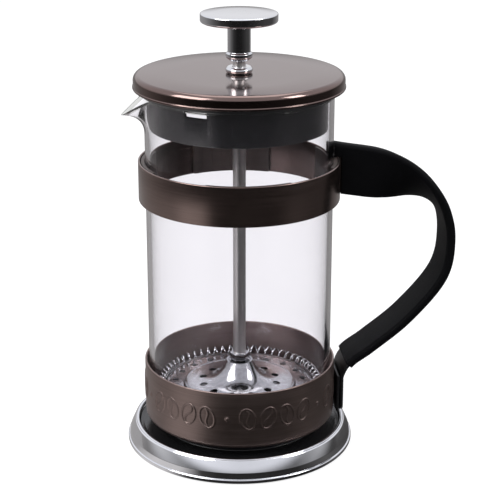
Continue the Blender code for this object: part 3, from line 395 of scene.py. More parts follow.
BRUSHED = (1.0, 1.0, 60.0)  # streaks that run round the press
MATERIALS = {
    "bronze_frame": finish(
        "bronze_brushed", ((0.20, 0.146, 0.131), (0.29, 0.218, 0.20)), (0.18, 0.28), 42.0, BRUSHED,
        bump=0.25, metallic=1.0,
    ),
    "bronze_lid": finish(
        "bronze_satin", ((0.165, 0.117, 0.107), (0.198, 0.144, 0.132)), (0.10, 0.14), 1800.0,
        bump=0.06, metallic=1.0,
    ),
    "chrome_base": finish(
        "chrome_base", ((0.76, 0.765, 0.79), (0.80, 0.805, 0.83)), (0.05, 0.10), 300.0,
        bump=0.03, metallic=1.0,
    ),
    "chrome_fittings": finish(
        "chrome_polished", ((0.71, 0.715, 0.735), (0.755, 0.76, 0.785)), (0.03, 0.07), 400.0,
        bump=0.02, metallic=1.0,
    ),
    "rod_steel": finish(
        "rod_steel", ((0.80, 0.78, 0.77), (0.88, 0.865, 0.86)), (0.28, 0.38), 900.0,
        (1.0, 1.0, 0.05), bump=0.05, metallic=1.0,
    ),
    "filter_steel": finish(
        "filter_steel", ((0.42, 0.42, 0.43), (0.60, 0.60, 0.62)), (0.10, 0.20), 700.0,
        bump=0.08, metallic=1.0,
    ),
    "screw_steel": finish(
        "screw_steel", ((0.50, 0.50, 0.51), (0.62, 0.62, 0.63)), (0.2, 0.32), 1200.0,
        bump=0.08, metallic=1.0,
    ),
    "black_steel": finish(
        "black_steel", ((0.004, 0.004, 0.0045), (0.009, 0.009, 0.010)), (0.28, 0.40), 2200.0,
        bump=0.12, Specular_IOR_Level=0.3,
    ),
    "rubber_grip": finish(
        "rubber_grip", ((0.0016, 0.0016, 0.0020), (0.0030, 0.0030, 0.0038)), (0.50, 0.64), 1500.0,
        bump=0.35, depth=0.08 * MM, Specular_IOR_Level=0.06,
    ),
    "rubber_pad": finish(
        "rubber_pad", ((0.010, 0.010, 0.011), (0.020, 0.020, 0.021)), (0.62, 0.8), 1800.0,
        bump=0.25, depth=0.05 * MM,
    ),
    "brown_pad": finish(
        "brown_pad", ((0.045, 0.034, 0.030), (0.085, 0.064, 0.056)), (0.45, 0.6), 42.0, BRUSHED,
        bump=0.2, depth=0.05 * MM,
    ),
    "black_insert": finish(
        "black_insert", ((0.006, 0.006, 0.0065), (0.011, 0.011, 0.012)), (0.16, 0.26), 900.0,
        bump=0.05,
    ),
    "grey_plastic": finish(
        "grey_plastic", ((0.005, 0.005, 0.0056), (0.008, 0.008, 0.009)), (0.16, 0.24), 1500.0,
        bump=0.06, IOR=2.2,
    ),
    "clear_glass": make_glass("clear_glass"),
}
RIM_SHADE_GLASS = finish(  # painted shade: the beaker's thick rim in glass tinted darker, standing in for the dark line light gives its edge
    "rim_painted_shade_glass", ((0.42, 0.43, 0.40), (0.50, 0.51, 0.48)), (0.02, 0.05), 200.0, bump=0.02,
    Transmission_Weight=1.0, IOR=1.47,
)
CUP_BRONZE = finish(
    "bronze_cup", ((0.20, 0.15, 0.137), (0.29, 0.222, 0.205)), (0.30, 0.44), 42.0, BRUSHED,
    bump=0.25, metallic=1.0,
)
COILED_STEEL = finish(
    "spring_steel", ((0.70, 0.70, 0.72), (0.86, 0.86, 0.88)), (0.08, 0.16), 900.0,
    bump=0.03, metallic=1.0,
)


# ---------------------------------------------------------------- mesh helpers
def rounded(points, spans=FINE_ARC):
    """An outline whose corners, given as (x, y, radius), are rounded with arcs."""
    outline = []
    count = len(points)
    for i, (x, y, radius) in enumerate(points):
        corner = Vector((x, y))
        if radius == 0:
            outline.append(corner)
            continue
        before = (Vector(points[i - 1][:2]) - corner).normalized()
        after = (Vector(points[(i + 1) % count][:2]) - corner).normalized()
        half = before.angle(after) / 2
        centre = corner + (before + after).normalized() * (radius / math.sin(half))
        start = corner + before * (radius / math.tan(half)) - centre
        end = corner + after * (radius / math.tan(half)) - centre
        sweep = start.angle_signed(end)
        for k in range(spans + 1):
            turn = -sweep * k / spans
            outline.append(centre + Vector((
                start.x * math.cos(turn) - start.y * math.sin(turn),
                start.x * math.sin(turn) + start.y * math.cos(turn),
            )))
    return outline


def arc(radius, start, end, spans):
    """Points on a circle about Z, from one angle to another."""
    points = []
    for i in range(spans + 1):
        angle = start + (end - start) * i / spans
        points.append(Vector((radius * math.cos(angle), radius * math.sin(angle))))
    return points


def add_piece(name, shape, degrees=30.0):
    """A shaded object from a bmesh, which is freed."""
    bmesh.ops.recalc_face_normals(shape, faces=shape.faces)
    mesh = bpy.data.meshes.new(name)
    shape.to_mesh(mesh)
    shape.free()
    mesh.shade_smooth()
    mesh.set_sharp_from_angle(angle=math.radians(degrees))
    return add_object(name, mesh)


def skin(shape, rings):
    """Faces between neighbouring rings of as many points."""
    count = len(rings[0])
    for first, second in zip(rings, rings[1:]):
        for i in range(count):
            k = (i + 1) % count
            shape.faces.new((first[i], first[k], second[k], second[i]))


def lathe(name, outline, steps=WIDE, closed=True, degrees=30.0):
    """Turns (radius, height) points about Z.  An open outline starts and ends on the axis."""
    shape = bmesh.new()
    rings = []
    for radius, height in outline:
        if radius < 1e-7:
            rings.append([shape.verts.new((0.0, 0.0, height))])
            continue
        ring = []
        for i in range(steps):
            angle = math.tau * i / steps
            ring.append(shape.verts.new((radius * math.cos(angle), radius * math.sin(angle), height)))
        rings.append(ring)
    pairs = list(zip(rings, rings[1:]))
    if closed:
        pairs.append((rings[-1], rings[0]))
    for first, second in pairs:
        for i in range(steps):
            k = (i + 1) % steps
            if len(first) == 1 and len(second) == 1:
                break
            if len(first) == 1:
                shape.faces.new((first[0], second[i], second[k]))
            elif len(second) == 1:
                shape.faces.new((first[i], first[k], second[0]))
            else:
                shape.faces.new((first[i], first[k], second[k], second[i]))
    return add_piece(name, shape, degrees)


def apply_modifiers(piece):
    """Bakes a piece's modifiers into its mesh."""
    depsgraph = bpy.context.evaluated_depsgraph_get()
    mesh = bpy.data.meshes.new_from_object(piece.evaluated_get(depsgraph))
    piece.modifiers.clear()
    piece.data = mesh


def bevel(piece, width, segments=3, degrees=30.0):
    modifier = piece.modifiers.new("bevel", "BEVEL")
    modifier.width = width
    modifier.segments = segments
    modifier.limit_method = "ANGLE"
    modifier.angle_limit = math.radians(degrees)
    apply_modifiers(piece)
    piece.data.shade_smooth()
    piece.data.set_sharp_from_angle(angle=math.radians(40.0))
    return piece


def cut(piece, cutters, degrees=30.0):
    """Cuts the cutters, which are removed, out of a piece."""
    for cutter in cutters:
        modifier = piece.modifiers.new("cut", "BOOLEAN")
        modifier.operation = "DIFFERENCE"
        modifier.solver = "EXACT"
        modifier.object = cutter
    apply_modifiers(piece)
    for cutter in cutters:
        bpy.data.objects.remove(cutter, do_unlink=True)
    piece.data.shade_smooth()
    piece.data.set_sharp_from_angle(angle=math.radians(degrees))
    return piece


def place(piece, body, slot, *nodes, material=None):
    """Paints a piece, makes it ride on its body and stand for its CAD nodes."""
    piece.data.materials.clear()
    piece.data.materials.append(material or MATERIALS[slot])
    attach(piece, body)
    if nodes:
        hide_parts(*nodes)
    return piece


def block(name, low_corner, high_corner):
    shape = bmesh.new()
    bmesh.ops.create_cube(shape, size=1.0)
    for vertex in shape.verts:
        for axis in range(3):
            middle = (low_corner[axis] + high_corner[axis]) / 2
            vertex.co[axis] = middle + vertex.co[axis] * (high_corner[axis] - low_corner[axis])
    return add_piece(name, shape)


def pill(name, radius, bottom, top, steps=24):
    """A plain cylinder about Z, used to cut holes."""
    return lathe(name, [(0.0, top), (radius, top), (radius, bottom), (0.0, bottom)], steps, closed=False)


# ---------------------------------------------------------------- base
BASE_LIP = 4.6 * MM  # from the ring's foot in to its inner edge
LIP_DEPTH = 1.6 * MM
BEAD_TOP = 2.0 * MM
PAD_EDGE = 0.5 * MM
PAD_GROOVES = 5
GROOVE_PITCH = 6.0 * MM
GROOVE_DEPTH = 0.35 * MM


def make_base():
    radius = high("base_ring").x
    bottom = low("base_ring").z
    top = high("base_ring").z
    lip = radius - BASE_LIP
    outline = rounded([
        (lip, top - LIP_DEPTH, 0.1 * MM),
        (lip + 0.1 * MM, top, 0.55 * MM),
        (lip + 1.2 * MM, top, 0.5 * MM),
        (lip + 1.3 * MM, top - 0.35 * MM, 0.12 * MM),
        (radius - 2.9 * MM, top - 0.45 * MM, 1.0 * MM),
        (radius - 1.0 * MM, 4.4 * MM, 1.2 * MM),
        (radius - 0.6 * MM, BEAD_TOP + 0.15 * MM, 0.12 * MM),
        (radius, BEAD_TOP, 0.5 * MM),
        (radius, bottom + 0.3 * MM, 0.5 * MM),
        (radius - 0.7 * MM, bottom, 0.2 * MM),
        (radius - 1.6 * MM, bottom, 0.1 * MM),
        (radius - 1.8 * MM, 4.5 * MM, 0),
        (radius - 3.2 * MM, top - LIP_DEPTH, 0),
    ])
    place(lathe("base_ring_fine", outline), "frame", "chrome_base", "base_ring")

    seat = high("base_insert").z
    skirt = high("base_insert").x
    foot = low("base_insert").z
    trench = seat - TRENCH_DEPTH
    rim = lip - 2 * GAP
    deck = trench - INSERT_WALL
    outline = rounded([
        (rim, trench + 0.3 * MM, 0.2 * MM),
        (skirt, trench - 1.9 * MM, 0.4 * MM),
        (skirt, foot, 0.3 * MM),
        (skirt - INSERT_WALL, foot, 0.3 * MM),
        (skirt - INSERT_WALL, deck, 0.5 * MM),
        (SEAT_RADIUS - INSERT_WALL, deck, 0.5 * MM),
        (SEAT_RADIUS - INSERT_WALL, seat - INSERT_WALL, 0.5 * MM),
        (HUB_OPENING, seat - INSERT_WALL, 0.3 * MM),
        (HUB_OPENING, seat, 0.3 * MM),
        (SEAT_RADIUS, seat, 0.5 * MM),
        (SEAT_RADIUS + 0.4 * MM, trench, 0.8 * MM),
        (rim - 1.2 * MM, trench, 0.3 * MM),
    ])
    place(lathe("base_insert_fine", outline), "frame", "black_insert", "base_insert")

    pad = high("base_pad").x
    thick = high("base_pad").z
    outline = [(0.0, thick), (pad, thick)] + [
        (pad - PAD_EDGE + PAD_EDGE * math.cos(a), PAD_EDGE + PAD_EDGE * math.sin(a))
        for a in [-math.pi / 2 * k / 5 for k in range(6)]
    ]
    for number in range(PAD_GROOVES):
        groove = pad - 5.0 * MM - GROOVE_PITCH * number
        outline += [
            (groove + 0.6 * MM, 0.0), (groove + 0.3 * MM, GROOVE_DEPTH),
            (groove - 0.3 * MM, GROOVE_DEPTH), (groove - 0.6 * MM, 0.0),
        ]
    outline.append((0.0, 0.0))
    place(lathe("base_pad_fine", outline, closed=False), "frame", "rubber_pad", "base_pad")


# ---------------------------------------------------------------- lower cup
BEAN_HALF_WIDTH = 2.9 * MM
BEAN_HALF_HEIGHT = 4.3 * MM
BEAN_TILT = math.radians(16.0)
BEAN_LINE = 0.42 * MM  # half the width of a drawn line
BEAN_CREASE = 0.9 * MM  # how far the crease swings to each side
DOT_RADIUS = 1.3 * MM
DOT_DEPTH = 0.462 * MM
RELIEF_DEPTH = 0.33 * MM
RELIEF_ROWS = 44
RELIEF_HEIGHT = 11.0 * MM
RELIEF_LIFT = 1.0 * MM  # the row's middle above the cup's
CUP_STEPS = 900  # fine enough for the relief
CUP_EDGE = 0.35 * MM
CUSHION_WIDTH = 7.2 * MM
RIVET_DOME = 0.6 * MM
RIVET_SHANK = 1.6 * MM
MOTIF_GROUPS = 6
MOTIF_PLACES = 5  # four beans and a dot
MOTIF_START = math.radians(-103.0)


def line_profile(distance, half_width):
    """1 on a drawn line's middle, falling smoothly to 0 at its edge."""
    if distance >= half_width:
        return 0.0
    return 0.5 + 0.5 * math.cos(math.pi * distance / half_width)


def bean_relief(along, up, lean):
    """Height of the coffee-bean outline at a place measured from its middle."""
    across = along * math.cos(lean) + up * math.sin(lean)
    length = -along * math.sin(lean) + up * math.cos(lean)
    share = math.hypot(across / BEAN_HALF_WIDTH, length / BEAN_HALF_HEIGHT)
    if share < 0.05:
        edge = BEAN_HALF_WIDTH
    else:
        edge = abs(share - 1.0) * math.hypot(across, length) / share
    height = line_profile(edge, BEAN_LINE)
    if share < 0.86:
        crease = BEAN_CREASE * math.sin(math.pi * length / BEAN_HALF_HEIGHT)
        height = max(height, line_profile(abs(across - crease), BEAN_LINE))
    return height


def cup_relief(angle, height, radius, middle):
    """Outward relief of the cup's wall: a row of beans with a dot after every fourth."""
    pitch = math.tau / (MOTIF_GROUPS * MOTIF_PLACES)
    turn = (angle - MOTIF_START) % math.tau
    number = int(turn / pitch + 0.5)
    along = (turn - number * pitch) * radius
    up = height - middle
    if number % MOTIF_PLACES == 0:
        return DOT_DEPTH * line_profile(math.hypot(along, up), DOT_RADIUS)
    lean = BEAN_TILT if number % 2 else -BEAN_TILT
    return RELIEF_DEPTH * bean_relief(along, up, lean)


def make_lower_cup():
    radius = high("lower_cup").x
    bottom = low("lower_cup").z
    top = high("lower_cup").z
    inner = radius - SHEET
    opening = HUB_OPENING + 2 * MM
    middle = (bottom + top) / 2 + RELIEF_LIFT
    rows = [middle + (i / RELIEF_ROWS - 0.5) * RELIEF_HEIGHT for i in range(RELIEF_ROWS + 1)]
    outline = rounded([
        (radius, top, CUP_EDGE),
        (radius, middle, 0),
        (radius, bottom, CUP_CORNER),
        (opening, bottom, 0),
        (opening, bottom + SHEET, 0),
        (inner, bottom + SHEET, CUP_CORNER - SHEET),
        (inner, top, CUP_EDGE),
    ])
    spot = outline.index(Vector((radius, middle)))
    outline[spot:spot + 1] = [Vector((radius, z)) for z in reversed(rows)]
    cup = lathe("lower_cup_fine", outline, CUP_STEPS, degrees=40.0)
    for vertex in cup.data.vertices:
        away = math.hypot(vertex.co.x, vertex.co.y)
        if abs(away - radius) > 1e-6 or not rows[0] <= vertex.co.z <= rows[-1]:
            continue
        angle = math.atan2(vertex.co.y, vertex.co.x)
        grown = 1.0 + cup_relief(angle, vertex.co.z, radius, middle) / away
        vertex.co.x *= grown
        vertex.co.y *= grown
    place(cup, "frame", "bronze_frame", "lower_cup", material=CUP_BRONZE)

    cushion_low, cushion_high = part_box("glass_cushion")
    outline = rounded([
        (cushion_high.x, cushion_high.z, 0.3 * MM),
        (cushion_high.x, cushion_low.z, 0.3 * MM),
        (cushion_high.x - CUSHION_WIDTH, cushion_low.z, 0.3 * MM),
        (cushion_high.x - CUSHION_WIDTH, cushion_high.z, 0.3 * MM),
    ])
    place(lathe("glass_cushion_fine", outline), "frame", "rubber_pad", "glass_cushion")

    bracket = block("handle_bracket_fine", *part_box("handle_bracket"))
    bevel(bracket, 0.45 * MM)
    place(bracket, "frame", "black_steel", "handle_bracket")
    for number in (1, 2):
        node = "lower_rivet_%d" % number
        rivet_low, rivet_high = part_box(node)
        head = (rivet_high.z - rivet_low.z) / 2
        length = rivet_high.x - rivet_low.x
        neck = length - RIVET_DOME
        dome = [(head * math.sin(a), neck + RIVET_DOME * math.cos(a))
                for a in [math.pi / 2 * k / 8 for k in range(9)]]
        outline = dome + [(RIVET_SHANK, neck), (RIVET_SHANK, 0.0), (0.0, 0.0)]
        rivet = lathe("lower_rivet_%d_fine" % number, outline, 48, closed=False)
        for vertex in rivet.data.vertices:
            x, y, z = vertex.co
            vertex.co = (rivet_low.x + z, y, (rivet_low.z + rivet_high.z) / 2 - x)
        place(rivet, "frame", "black_steel", node)


# ---------------------------------------------------------------- upper band
BAND_EDGE = 0.36 * MM
EAR_STEP = (0.2 * MM, 1.4 * MM)  # the band narrows to its ears between these


def make_upper_band():
    band_low, band_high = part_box("upper_band")
    liner = high("band_pad_1").x
    middle = liner + GAP + SHEET / 2
    ear_y = EAR_FACE + SHEET / 2
    bend_y = ear_y + EAR_BEND
    bend_x = math.sqrt((middle + EAR_BEND) ** 2 - bend_y ** 2)
    meet = math.atan2(bend_y, bend_x)
    root = liner + 2 * GAP + SHEET
    ear_end = root + EAR_LENGTH
    path = [Vector((ear_end, ear_y)), Vector((ear_end - 1 * MM, ear_y)), Vector((root + 3 * MM, ear_y))]
    spans = 10
    for i in range(spans + 1):
        turn = -math.pi / 2 - (math.pi / 2 - meet) * i / spans
        path.append(Vector((bend_x, bend_y)) + EAR_BEND * Vector((math.cos(turn), math.sin(turn))))
    half_count = len(path)
    path += arc(middle, meet, math.tau - meet, WIDE)[1:-1]
    path += [Vector((p.x, -p.y)) for p in reversed(path[:half_count])]
    ear_low = (band_low.z + band_high.z - EAR_HEIGHT) / 2 + HANDLE_RISE / 2
    shape = bmesh.new()
    rings = []
    for i, point in enumerate(path):
        ahead = path[min(i + 1, len(path) - 1)] - path[max(i - 1, 0)]
        side = Vector((ahead.y, -ahead.x)).normalized()
        share = (point.x - middle - EAR_STEP[0]) / (EAR_STEP[1] - EAR_STEP[0])
        share = min(max(share, 0.0), 1.0)
        bottom = band_low.z + (ear_low - band_low.z) * share
        top = band_high.z + (ear_low + EAR_HEIGHT - band_high.z) * share
        section = rounded([
            (SHEET / 2, bottom, BAND_EDGE), (-SHEET / 2, bottom, BAND_EDGE),
            (-SHEET / 2, top, BAND_EDGE), (SHEET / 2, top, BAND_EDGE),
        ], 4)
        rings.append([
            shape.verts.new((point.x + side.x * p.x, point.y + side.y * p.x, p.y)) for p in section
        ])
    skin(shape, rings)
    shape.faces.new(rings[0])
    shape.faces.new(rings[-1])
    band = add_piece("upper_band_fine", shape, 40.0)
    place(band, "frame", "bronze_frame", "upper_band")


# ---------------------------------------------------------------- handle
TAB_CORNER = 3.0 * MM
STRAP_EDGE = 0.35 * MM
SLEEVE_CORNER = 1.6 * MM


def smooth_line(points, spans):
    """A Catmull-Rom curve through the points."""
    line = []
    ends = [2 * points[0] - points[1]] + points + [2 * points[-1] - points[-2]]
    for i in range(1, len(ends) - 2):
        a, b, c, d = ends[i - 1:i + 3]
        for k in range(spans):
            t = k / spans
            line.append(
                0.5 * (2 * b + (c - a) * t + (2 * a - 5 * b + 4 * c - d) * t ** 2
                       + (3 * b - a - 3 * c + d) * t ** 3)
            )
    line.append(points[-1])
    return line


def grip_frames(spans):
    """Along the strap: its centre, the way its width runs, its face's way and its own way."""
    band_low, band_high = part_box("upper_band")
    bracket = high("handle_bracket")
    root_x = high("band_pad_1").x + 2 * GAP + SHEET
    root_z = (band_low.z + band_high.z) / 2 + HANDLE_RISE
    tab_x = bracket.x + GAP + STRAP_THICKNESS / 2
    tab_bottom = low("handle_strap").z
    tab_top = tab_bottom + TAB_HEIGHT
    reach = high("handle_strap").x - STRAP_THICKNESS / 2 - tab_x
    points = [Vector((root_x, root_z))]
    for out, rise in GRIP_SHAPE:
        points.append(Vector((tab_x + out * reach, tab_top + rise * (root_z - tab_top))))
    points.append(Vector((tab_x, tab_top)))
    points.append(Vector((tab_x, (tab_top + tab_bottom) / 2)))
    points.append(Vector((tab_x, tab_bottom)))
    line = smooth_line(points, spans)
    for point in line:
        if point.y < tab_top:
            point.x = tab_x
    lengths = [0.0]
    for a, b in zip(line, line[1:]):
        lengths.append(lengths[-1] + (b - a).length)
    frames = []
    for i, point in enumerate(line):
        along = line[min(i + 1, len(line) - 1)] - line[max(i - 1, 0)]
        along = Vector((along.x, 0.0, along.y)).normalized()
        outward = Vector((-along.z, 0.0, along.x))
        share = (lengths[i] / lengths[-1] - TWIST_START) / (TWIST_END - TWIST_START)
        share = min(max(share, 0.0), 1.0)
        twist = math.pi / 2 * share * share * (3 - 2 * share)
        width = outward * math.cos(twist) - Vector((0.0, 1.0, 0.0)) * math.sin(twist)
        frames.append((Vector((point.x, 0.0, point.y)), width, along.cross(width), along))
    return frames, root_x, root_z, tab_top


def section_ring(shape, station, half_width, half_face, corner, spans):
    centre, width, face, _along = station
    radius = min(corner, 0.96 * half_face)  # a full round would leave points on top of each other
    outline = rounded([
        (half_width, half_face, radius), (half_width, -half_face, radius),
        (-half_width, -half_face, radius), (-half_width, half_face, radius),
    ], spans)
    return [shape.verts.new(centre + width * p.x + face * p.y) for p in outline]


def make_handle():
    frames, root_x, root_z, tab_top = grip_frames(14)
    half_width = STRAP_WIDTH / 2
    half_face = STRAP_THICKNESS / 2
    glass = high("glass_beaker").y
    head = frames[0]
    for share in (0.5, 1.0):
        inwards = head[3] * share * (root_x - glass + 2 * MM)
        frames.insert(0, (head[0] - inwards, *head[1:]))
    shape = bmesh.new()
    foot = frames[-1][0].z
    rings = []
    for station in frames:
        above = station[0].z - foot
        narrow = 0.0
        if above < TAB_CORNER and station[0].z < root_z / 2:
            narrow = TAB_CORNER - math.sqrt(TAB_CORNER ** 2 - (TAB_CORNER - above) ** 2)
        rings.append(section_ring(shape, station, half_width - narrow, half_face, STRAP_EDGE, 4))
    skin(shape, rings)
    shape.faces.new(rings[0])
    shape.faces.new(rings[-1])
    strap = add_piece("handle_strap_fine", shape, 40.0)
    below = root_z - STRAP_WIDTH
    above = root_z + STRAP_WIDTH
    cut(strap, [pill("root_cutter", root_x, below, above, WIDE)], 40.0)
    place(strap, "frame", "black_steel", "handle_strap")

    ear_half = EAR_FACE + SHEET + SLEEVE_GAP
    ear_reach = high("band_pad_1").x + 2 * GAP + SHEET + EAR_LENGTH
    lowest = tab_top + SLEEVE_END_LIFT
    covered = [station for station in frames if station[0].z >= lowest]
    shape = bmesh.new()
    outer = []
    inner = []
    for station in covered:
        centre = station[0]
        fade = min(max((centre.x - ear_reach - EAR_MARGIN) / EAR_TAPER, 0.0), 1.0)
        if centre.z < root_z - STRAP_WIDTH:
            fade = 1.0
        thick = ear_half + (half_face + SLEEVE_GAP - ear_half) * fade
        outer.append(section_ring(
            shape, station, half_width + SLEEVE_GAP + SLEEVE_EDGE, thick + SLEEVE_SKIN, SLEEVE_CORNER, 6))
        inner.append(section_ring(shape, station, half_width + SLEEVE_GAP, thick, 0.3 * MM, 6))
    skin(shape, outer)
    skin(shape, inner)
    for ends in ((inner[0], outer[0]), (outer[-1], inner[-1])):
        skin(shape, ends)
    sleeve = add_piece("handle_sleeve_fine", shape, 40.0)
    band_top = high("upper_band").z + GAP
    start = root_x - GAP + EAR_BEND
    band_cutter = pill("band_cutter", start, below, band_top, WIDE)
    glass_cutter = pill("glass_cutter", glass + GAP, below, above, WIDE)
    cut(sleeve, [band_cutter, glass_cutter], 40.0)
    bevel(sleeve, 0.25 * MM, 2, 50.0)
    place(sleeve, "frame", "rubber_grip", "handle_sleeve")


# ---------------------------------------------------------------- beaker
GLASS_STEPS = 288
SPOUT_ROWS = 20
SPOUT_SPREAD = 1.3
SPOUT_CURL = 2.2
SPOUT_PINCH = 0.35


def make_beaker():
    glass_low, glass_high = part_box("glass_beaker")
    radius = glass_high.y
    inner = radius - GLASS_WALL
    rim = glass_high.z
    bottom = glass_low.z
    start = rim - SPOUT_DEPTH
    spout_reach = -glass_low.x - radius
    rows = [start + SPOUT_DEPTH * i / SPOUT_ROWS for i in range(SPOUT_ROWS)]
    outline = rounded([
        (0.0, bottom + 0.6 * MM, 0),
        (radius - GLASS_CORNER - 3 * MM, bottom + 0.5 * MM, 1.5 * MM),
        (radius - GLASS_CORNER - 2 * MM, bottom, 1.0 * MM),
        (radius, bottom, GLASS_CORNER),
        (radius, start, 0),
        (radius, rim, 0.49 * GLASS_WALL),
        (inner, rim, 0.49 * GLASS_WALL),
        (inner, start, 0),
        (inner, bottom + GLASS_FLOOR, GLASS_CORNER - GLASS_WALL),
        (0.0, bottom + GLASS_FLOOR, 0),
    ])
    spot = outline.index(Vector((radius, start)))
    outline[spot:spot + 1] = [Vector((radius, z)) for z in rows]
    spot = outline.index(Vector((inner, start)))
    outline[spot:spot + 1] = [Vector((inner, z)) for z in reversed(rows)]
    beaker = lathe("glass_beaker_fine", outline, GLASS_STEPS, closed=False, degrees=50.0)
    # painted shade: the faces at the top of the rim are picked out here for the darker tinted glass
    shade_rim_start = rim - 0.6 * GLASS_WALL
    rim_shade_faces = [face.index for face in beaker.data.polygons if face.center.z > shade_rim_start]
    for vertex in beaker.data.vertices:
        spot = vertex.co
        level = (spot.z - start) / SPOUT_DEPTH
        away = math.pi - abs(math.atan2(spot.y, spot.x))
        if level <= 0 or away >= SPOUT_HALF_ANGLE:
            continue
        from_axis = math.hypot(spot.x, spot.y)
        share = 0.5 + 0.5 * math.cos(math.pi * away / SPOUT_HALF_ANGLE)
        reach = spout_reach * share ** SPOUT_SPREAD * level ** SPOUT_CURL
        spot.x *= (from_axis + reach) / from_axis
        spot.y *= 1.0 - SPOUT_PINCH * share * level
        spot.z -= SPOUT_DROOP * share ** SPOUT_SPREAD * level ** 2
    beaker.data.update()
    place(beaker, "beaker", "clear_glass", "glass_beaker")
    # painted shade: the rim faces get the darker tinted glass in place of the dark line light gives a
    # thick edge
    beaker.data.materials.append(RIM_SHADE_GLASS)
    for number in rim_shade_faces:
        beaker.data.polygons[number].material_index = 1


# ---------------------------------------------------------------- lid
LID_EDGE = 2.2 * MM
STEM_HOLE = 4.22 * MM
WINDOW_WIDTH = 9.0 * MM
WINDOW_HEIGHT = 2.6 * MM
WINDOW_DROP = 0.7 * MM
STRAINER_SLOTS = 5
STRAINER_WIDTH = 1.6 * MM
ROD_CLEARANCE = 0.12 * MM
BUSH_WALL = 1.3 * MM


def make_lid():
    cover_low, cover_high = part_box("lid_cover")
    radius = cover_high.x
    top = cover_high.z
    bottom = cover_low.z
    side = radius - 0.25 * MM
    outline = rounded([
        (STEM_HOLE, top, 0),
        (radius * 0.6, top, 0),
        (side, top, LID_EDGE),
        (side, bottom + 1.0 * MM, 0.15 * MM),
        (radius, bottom + 0.7 * MM, 0.3 * MM),
        (radius, bottom, 0.35 * MM),
        (radius - SHEET, bottom, 0.25 * MM),
        (radius - SHEET, top - SHEET, 1.4 * MM),
        (STEM_HOLE, top - SHEET, 0),
    ])
    place(lathe("lid_cover_fine", outline), "lid", "bronze_lid", "lid_cover")

    collar_low, collar_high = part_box("lid_collar")
    rim = high("glass_beaker").z
    snap = collar_high.x
    skirt = high("glass_beaker").y - GLASS_WALL - 0.6 * MM
    flange = high("glass_beaker").y + 1.8 * MM
    flange_bottom = rim + GAP
    flange_top = flange_bottom + 2.0 * MM
    roof = collar_high.z - COLLAR_WALL
    skirt_inner = skirt - COLLAR_WALL
    outline = rounded([
        (snap - 1.4 * MM, collar_high.z, 0.2 * MM),
        (snap, collar_high.z - 1.4 * MM, 0.2 * MM),
        (snap, flange_top + 0.5 * MM, 0.2 * MM),
        (flange, flange_top, 0.3 * MM),
        (flange, flange_bottom, 0.5 * MM),
        (skirt, flange_bottom, 0.25 * MM),
        (skirt, collar_low.z, 0.5 * MM),
        (skirt_inner, collar_low.z, 0.5 * MM),
        (skirt_inner, flange_bottom + COLLAR_WALL, 0.4 * MM),
        (flange - COLLAR_WALL, flange_bottom + COLLAR_WALL, 0.4 * MM),
        (flange - COLLAR_WALL, roof, 0.5 * MM),
        (STEM_HOLE, roof, 0),
        (STEM_HOLE, collar_high.z, 0),
    ])
    collar = lathe("lid_collar_fine", outline)
    cuts = [(0.0, WINDOW_WIDTH)]
    for number in range(STRAINER_SLOTS):
        cuts.append((math.pi + (number - STRAINER_SLOTS // 2) * STRAINER_PITCH, STRAINER_WIDTH))
    cutters = []
    slot_top = flange_bottom - WINDOW_DROP
    for number, (turn, width) in enumerate(cuts):
        cutter = block(
            "window_cutter_%d" % number, (skirt_inner - 3 * MM, -width / 2, slot_top - WINDOW_HEIGHT),
            (skirt + 1 * MM, width / 2, slot_top),
        )
        bevel(cutter, 0.4 * MM)
        cutter.rotation_euler.z = WINDOW_ANGLE + turn
        cutters.append(cutter)
    cut(collar, cutters)
    place(collar, "lid", "grey_plastic", "lid_collar")


def hex_nut(name, radius, bore, bottom, top):
    """A hexagonal nut about Z: chamfered corners and a bore."""
    shape = bmesh.new()
    chamfer = 0.5 * MM
    rings = []
    levels = [(bottom, 0.93), (bottom + chamfer, 1.0), (top - chamfer, 1.0), (top, 0.93)]
    for level, share in levels:
        corners = arc(share * radius, 0, math.tau, 6)[:-1]
        rings.append([shape.verts.new((p.x, p.y, level)) for p in corners])
    skin(shape, rings)
    shape.faces.new(rings[0])
    shape.faces.new(rings[-1])
    nut = add_piece(name, shape, 20.0)
    bevel(nut, 0.25 * MM, 2, 20.0)
    return cut(nut, [pill(name + "_bore", bore, bottom - 1 * MM, top + 1 * MM, 48)])


def make_lid_bush():
    bush_low, bush_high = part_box("lid_bush")
    radius = bush_high.x
    lid_top = high("lid_cover").z
    bore = high("plunger_rod").x + ROD_CLEARANCE
    stem = bore + BUSH_WALL
    base = lid_top + GAP
    tall = bush_high.z - base
    outline = rounded([
        (bore, bush_high.z, 0.1 * MM),
        (radius - 0.9 * MM, bush_high.z, 0.5 * MM),
        (radius, bush_high.z - 0.45 * tall, 0.9 * MM),
        (radius - 0.35 * MM, base, 0.4 * MM),
        (stem, base, 0),
        (stem, bush_low.z, 0),
        (bore, bush_low.z, 0),
    ])
    place(lathe("lid_bush_fine", outline, SMALL), "lid_bush", "chrome_fittings", "lid_bush")
    washer_low, washer_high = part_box("lid_washer")
    outline = rounded([
        (stem + GAP, washer_high.z, 0.1 * MM), (washer_high.x, washer_high.z, 0.25 * MM),
        (washer_high.x, washer_low.z, 0.25 * MM), (stem + GAP, washer_low.z, 0.1 * MM),
    ])
    place(lathe("lid_washer_fine", outline, SMALL), "lid_bush", "screw_steel", "lid_washer")
    nut_low, nut_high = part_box("lid_nut")
    nut = hex_nut("lid_nut_fine", nut_high.x, stem + GAP, nut_low.z, nut_high.z)
    place(nut, "lid_bush", "screw_steel", "lid_nut")


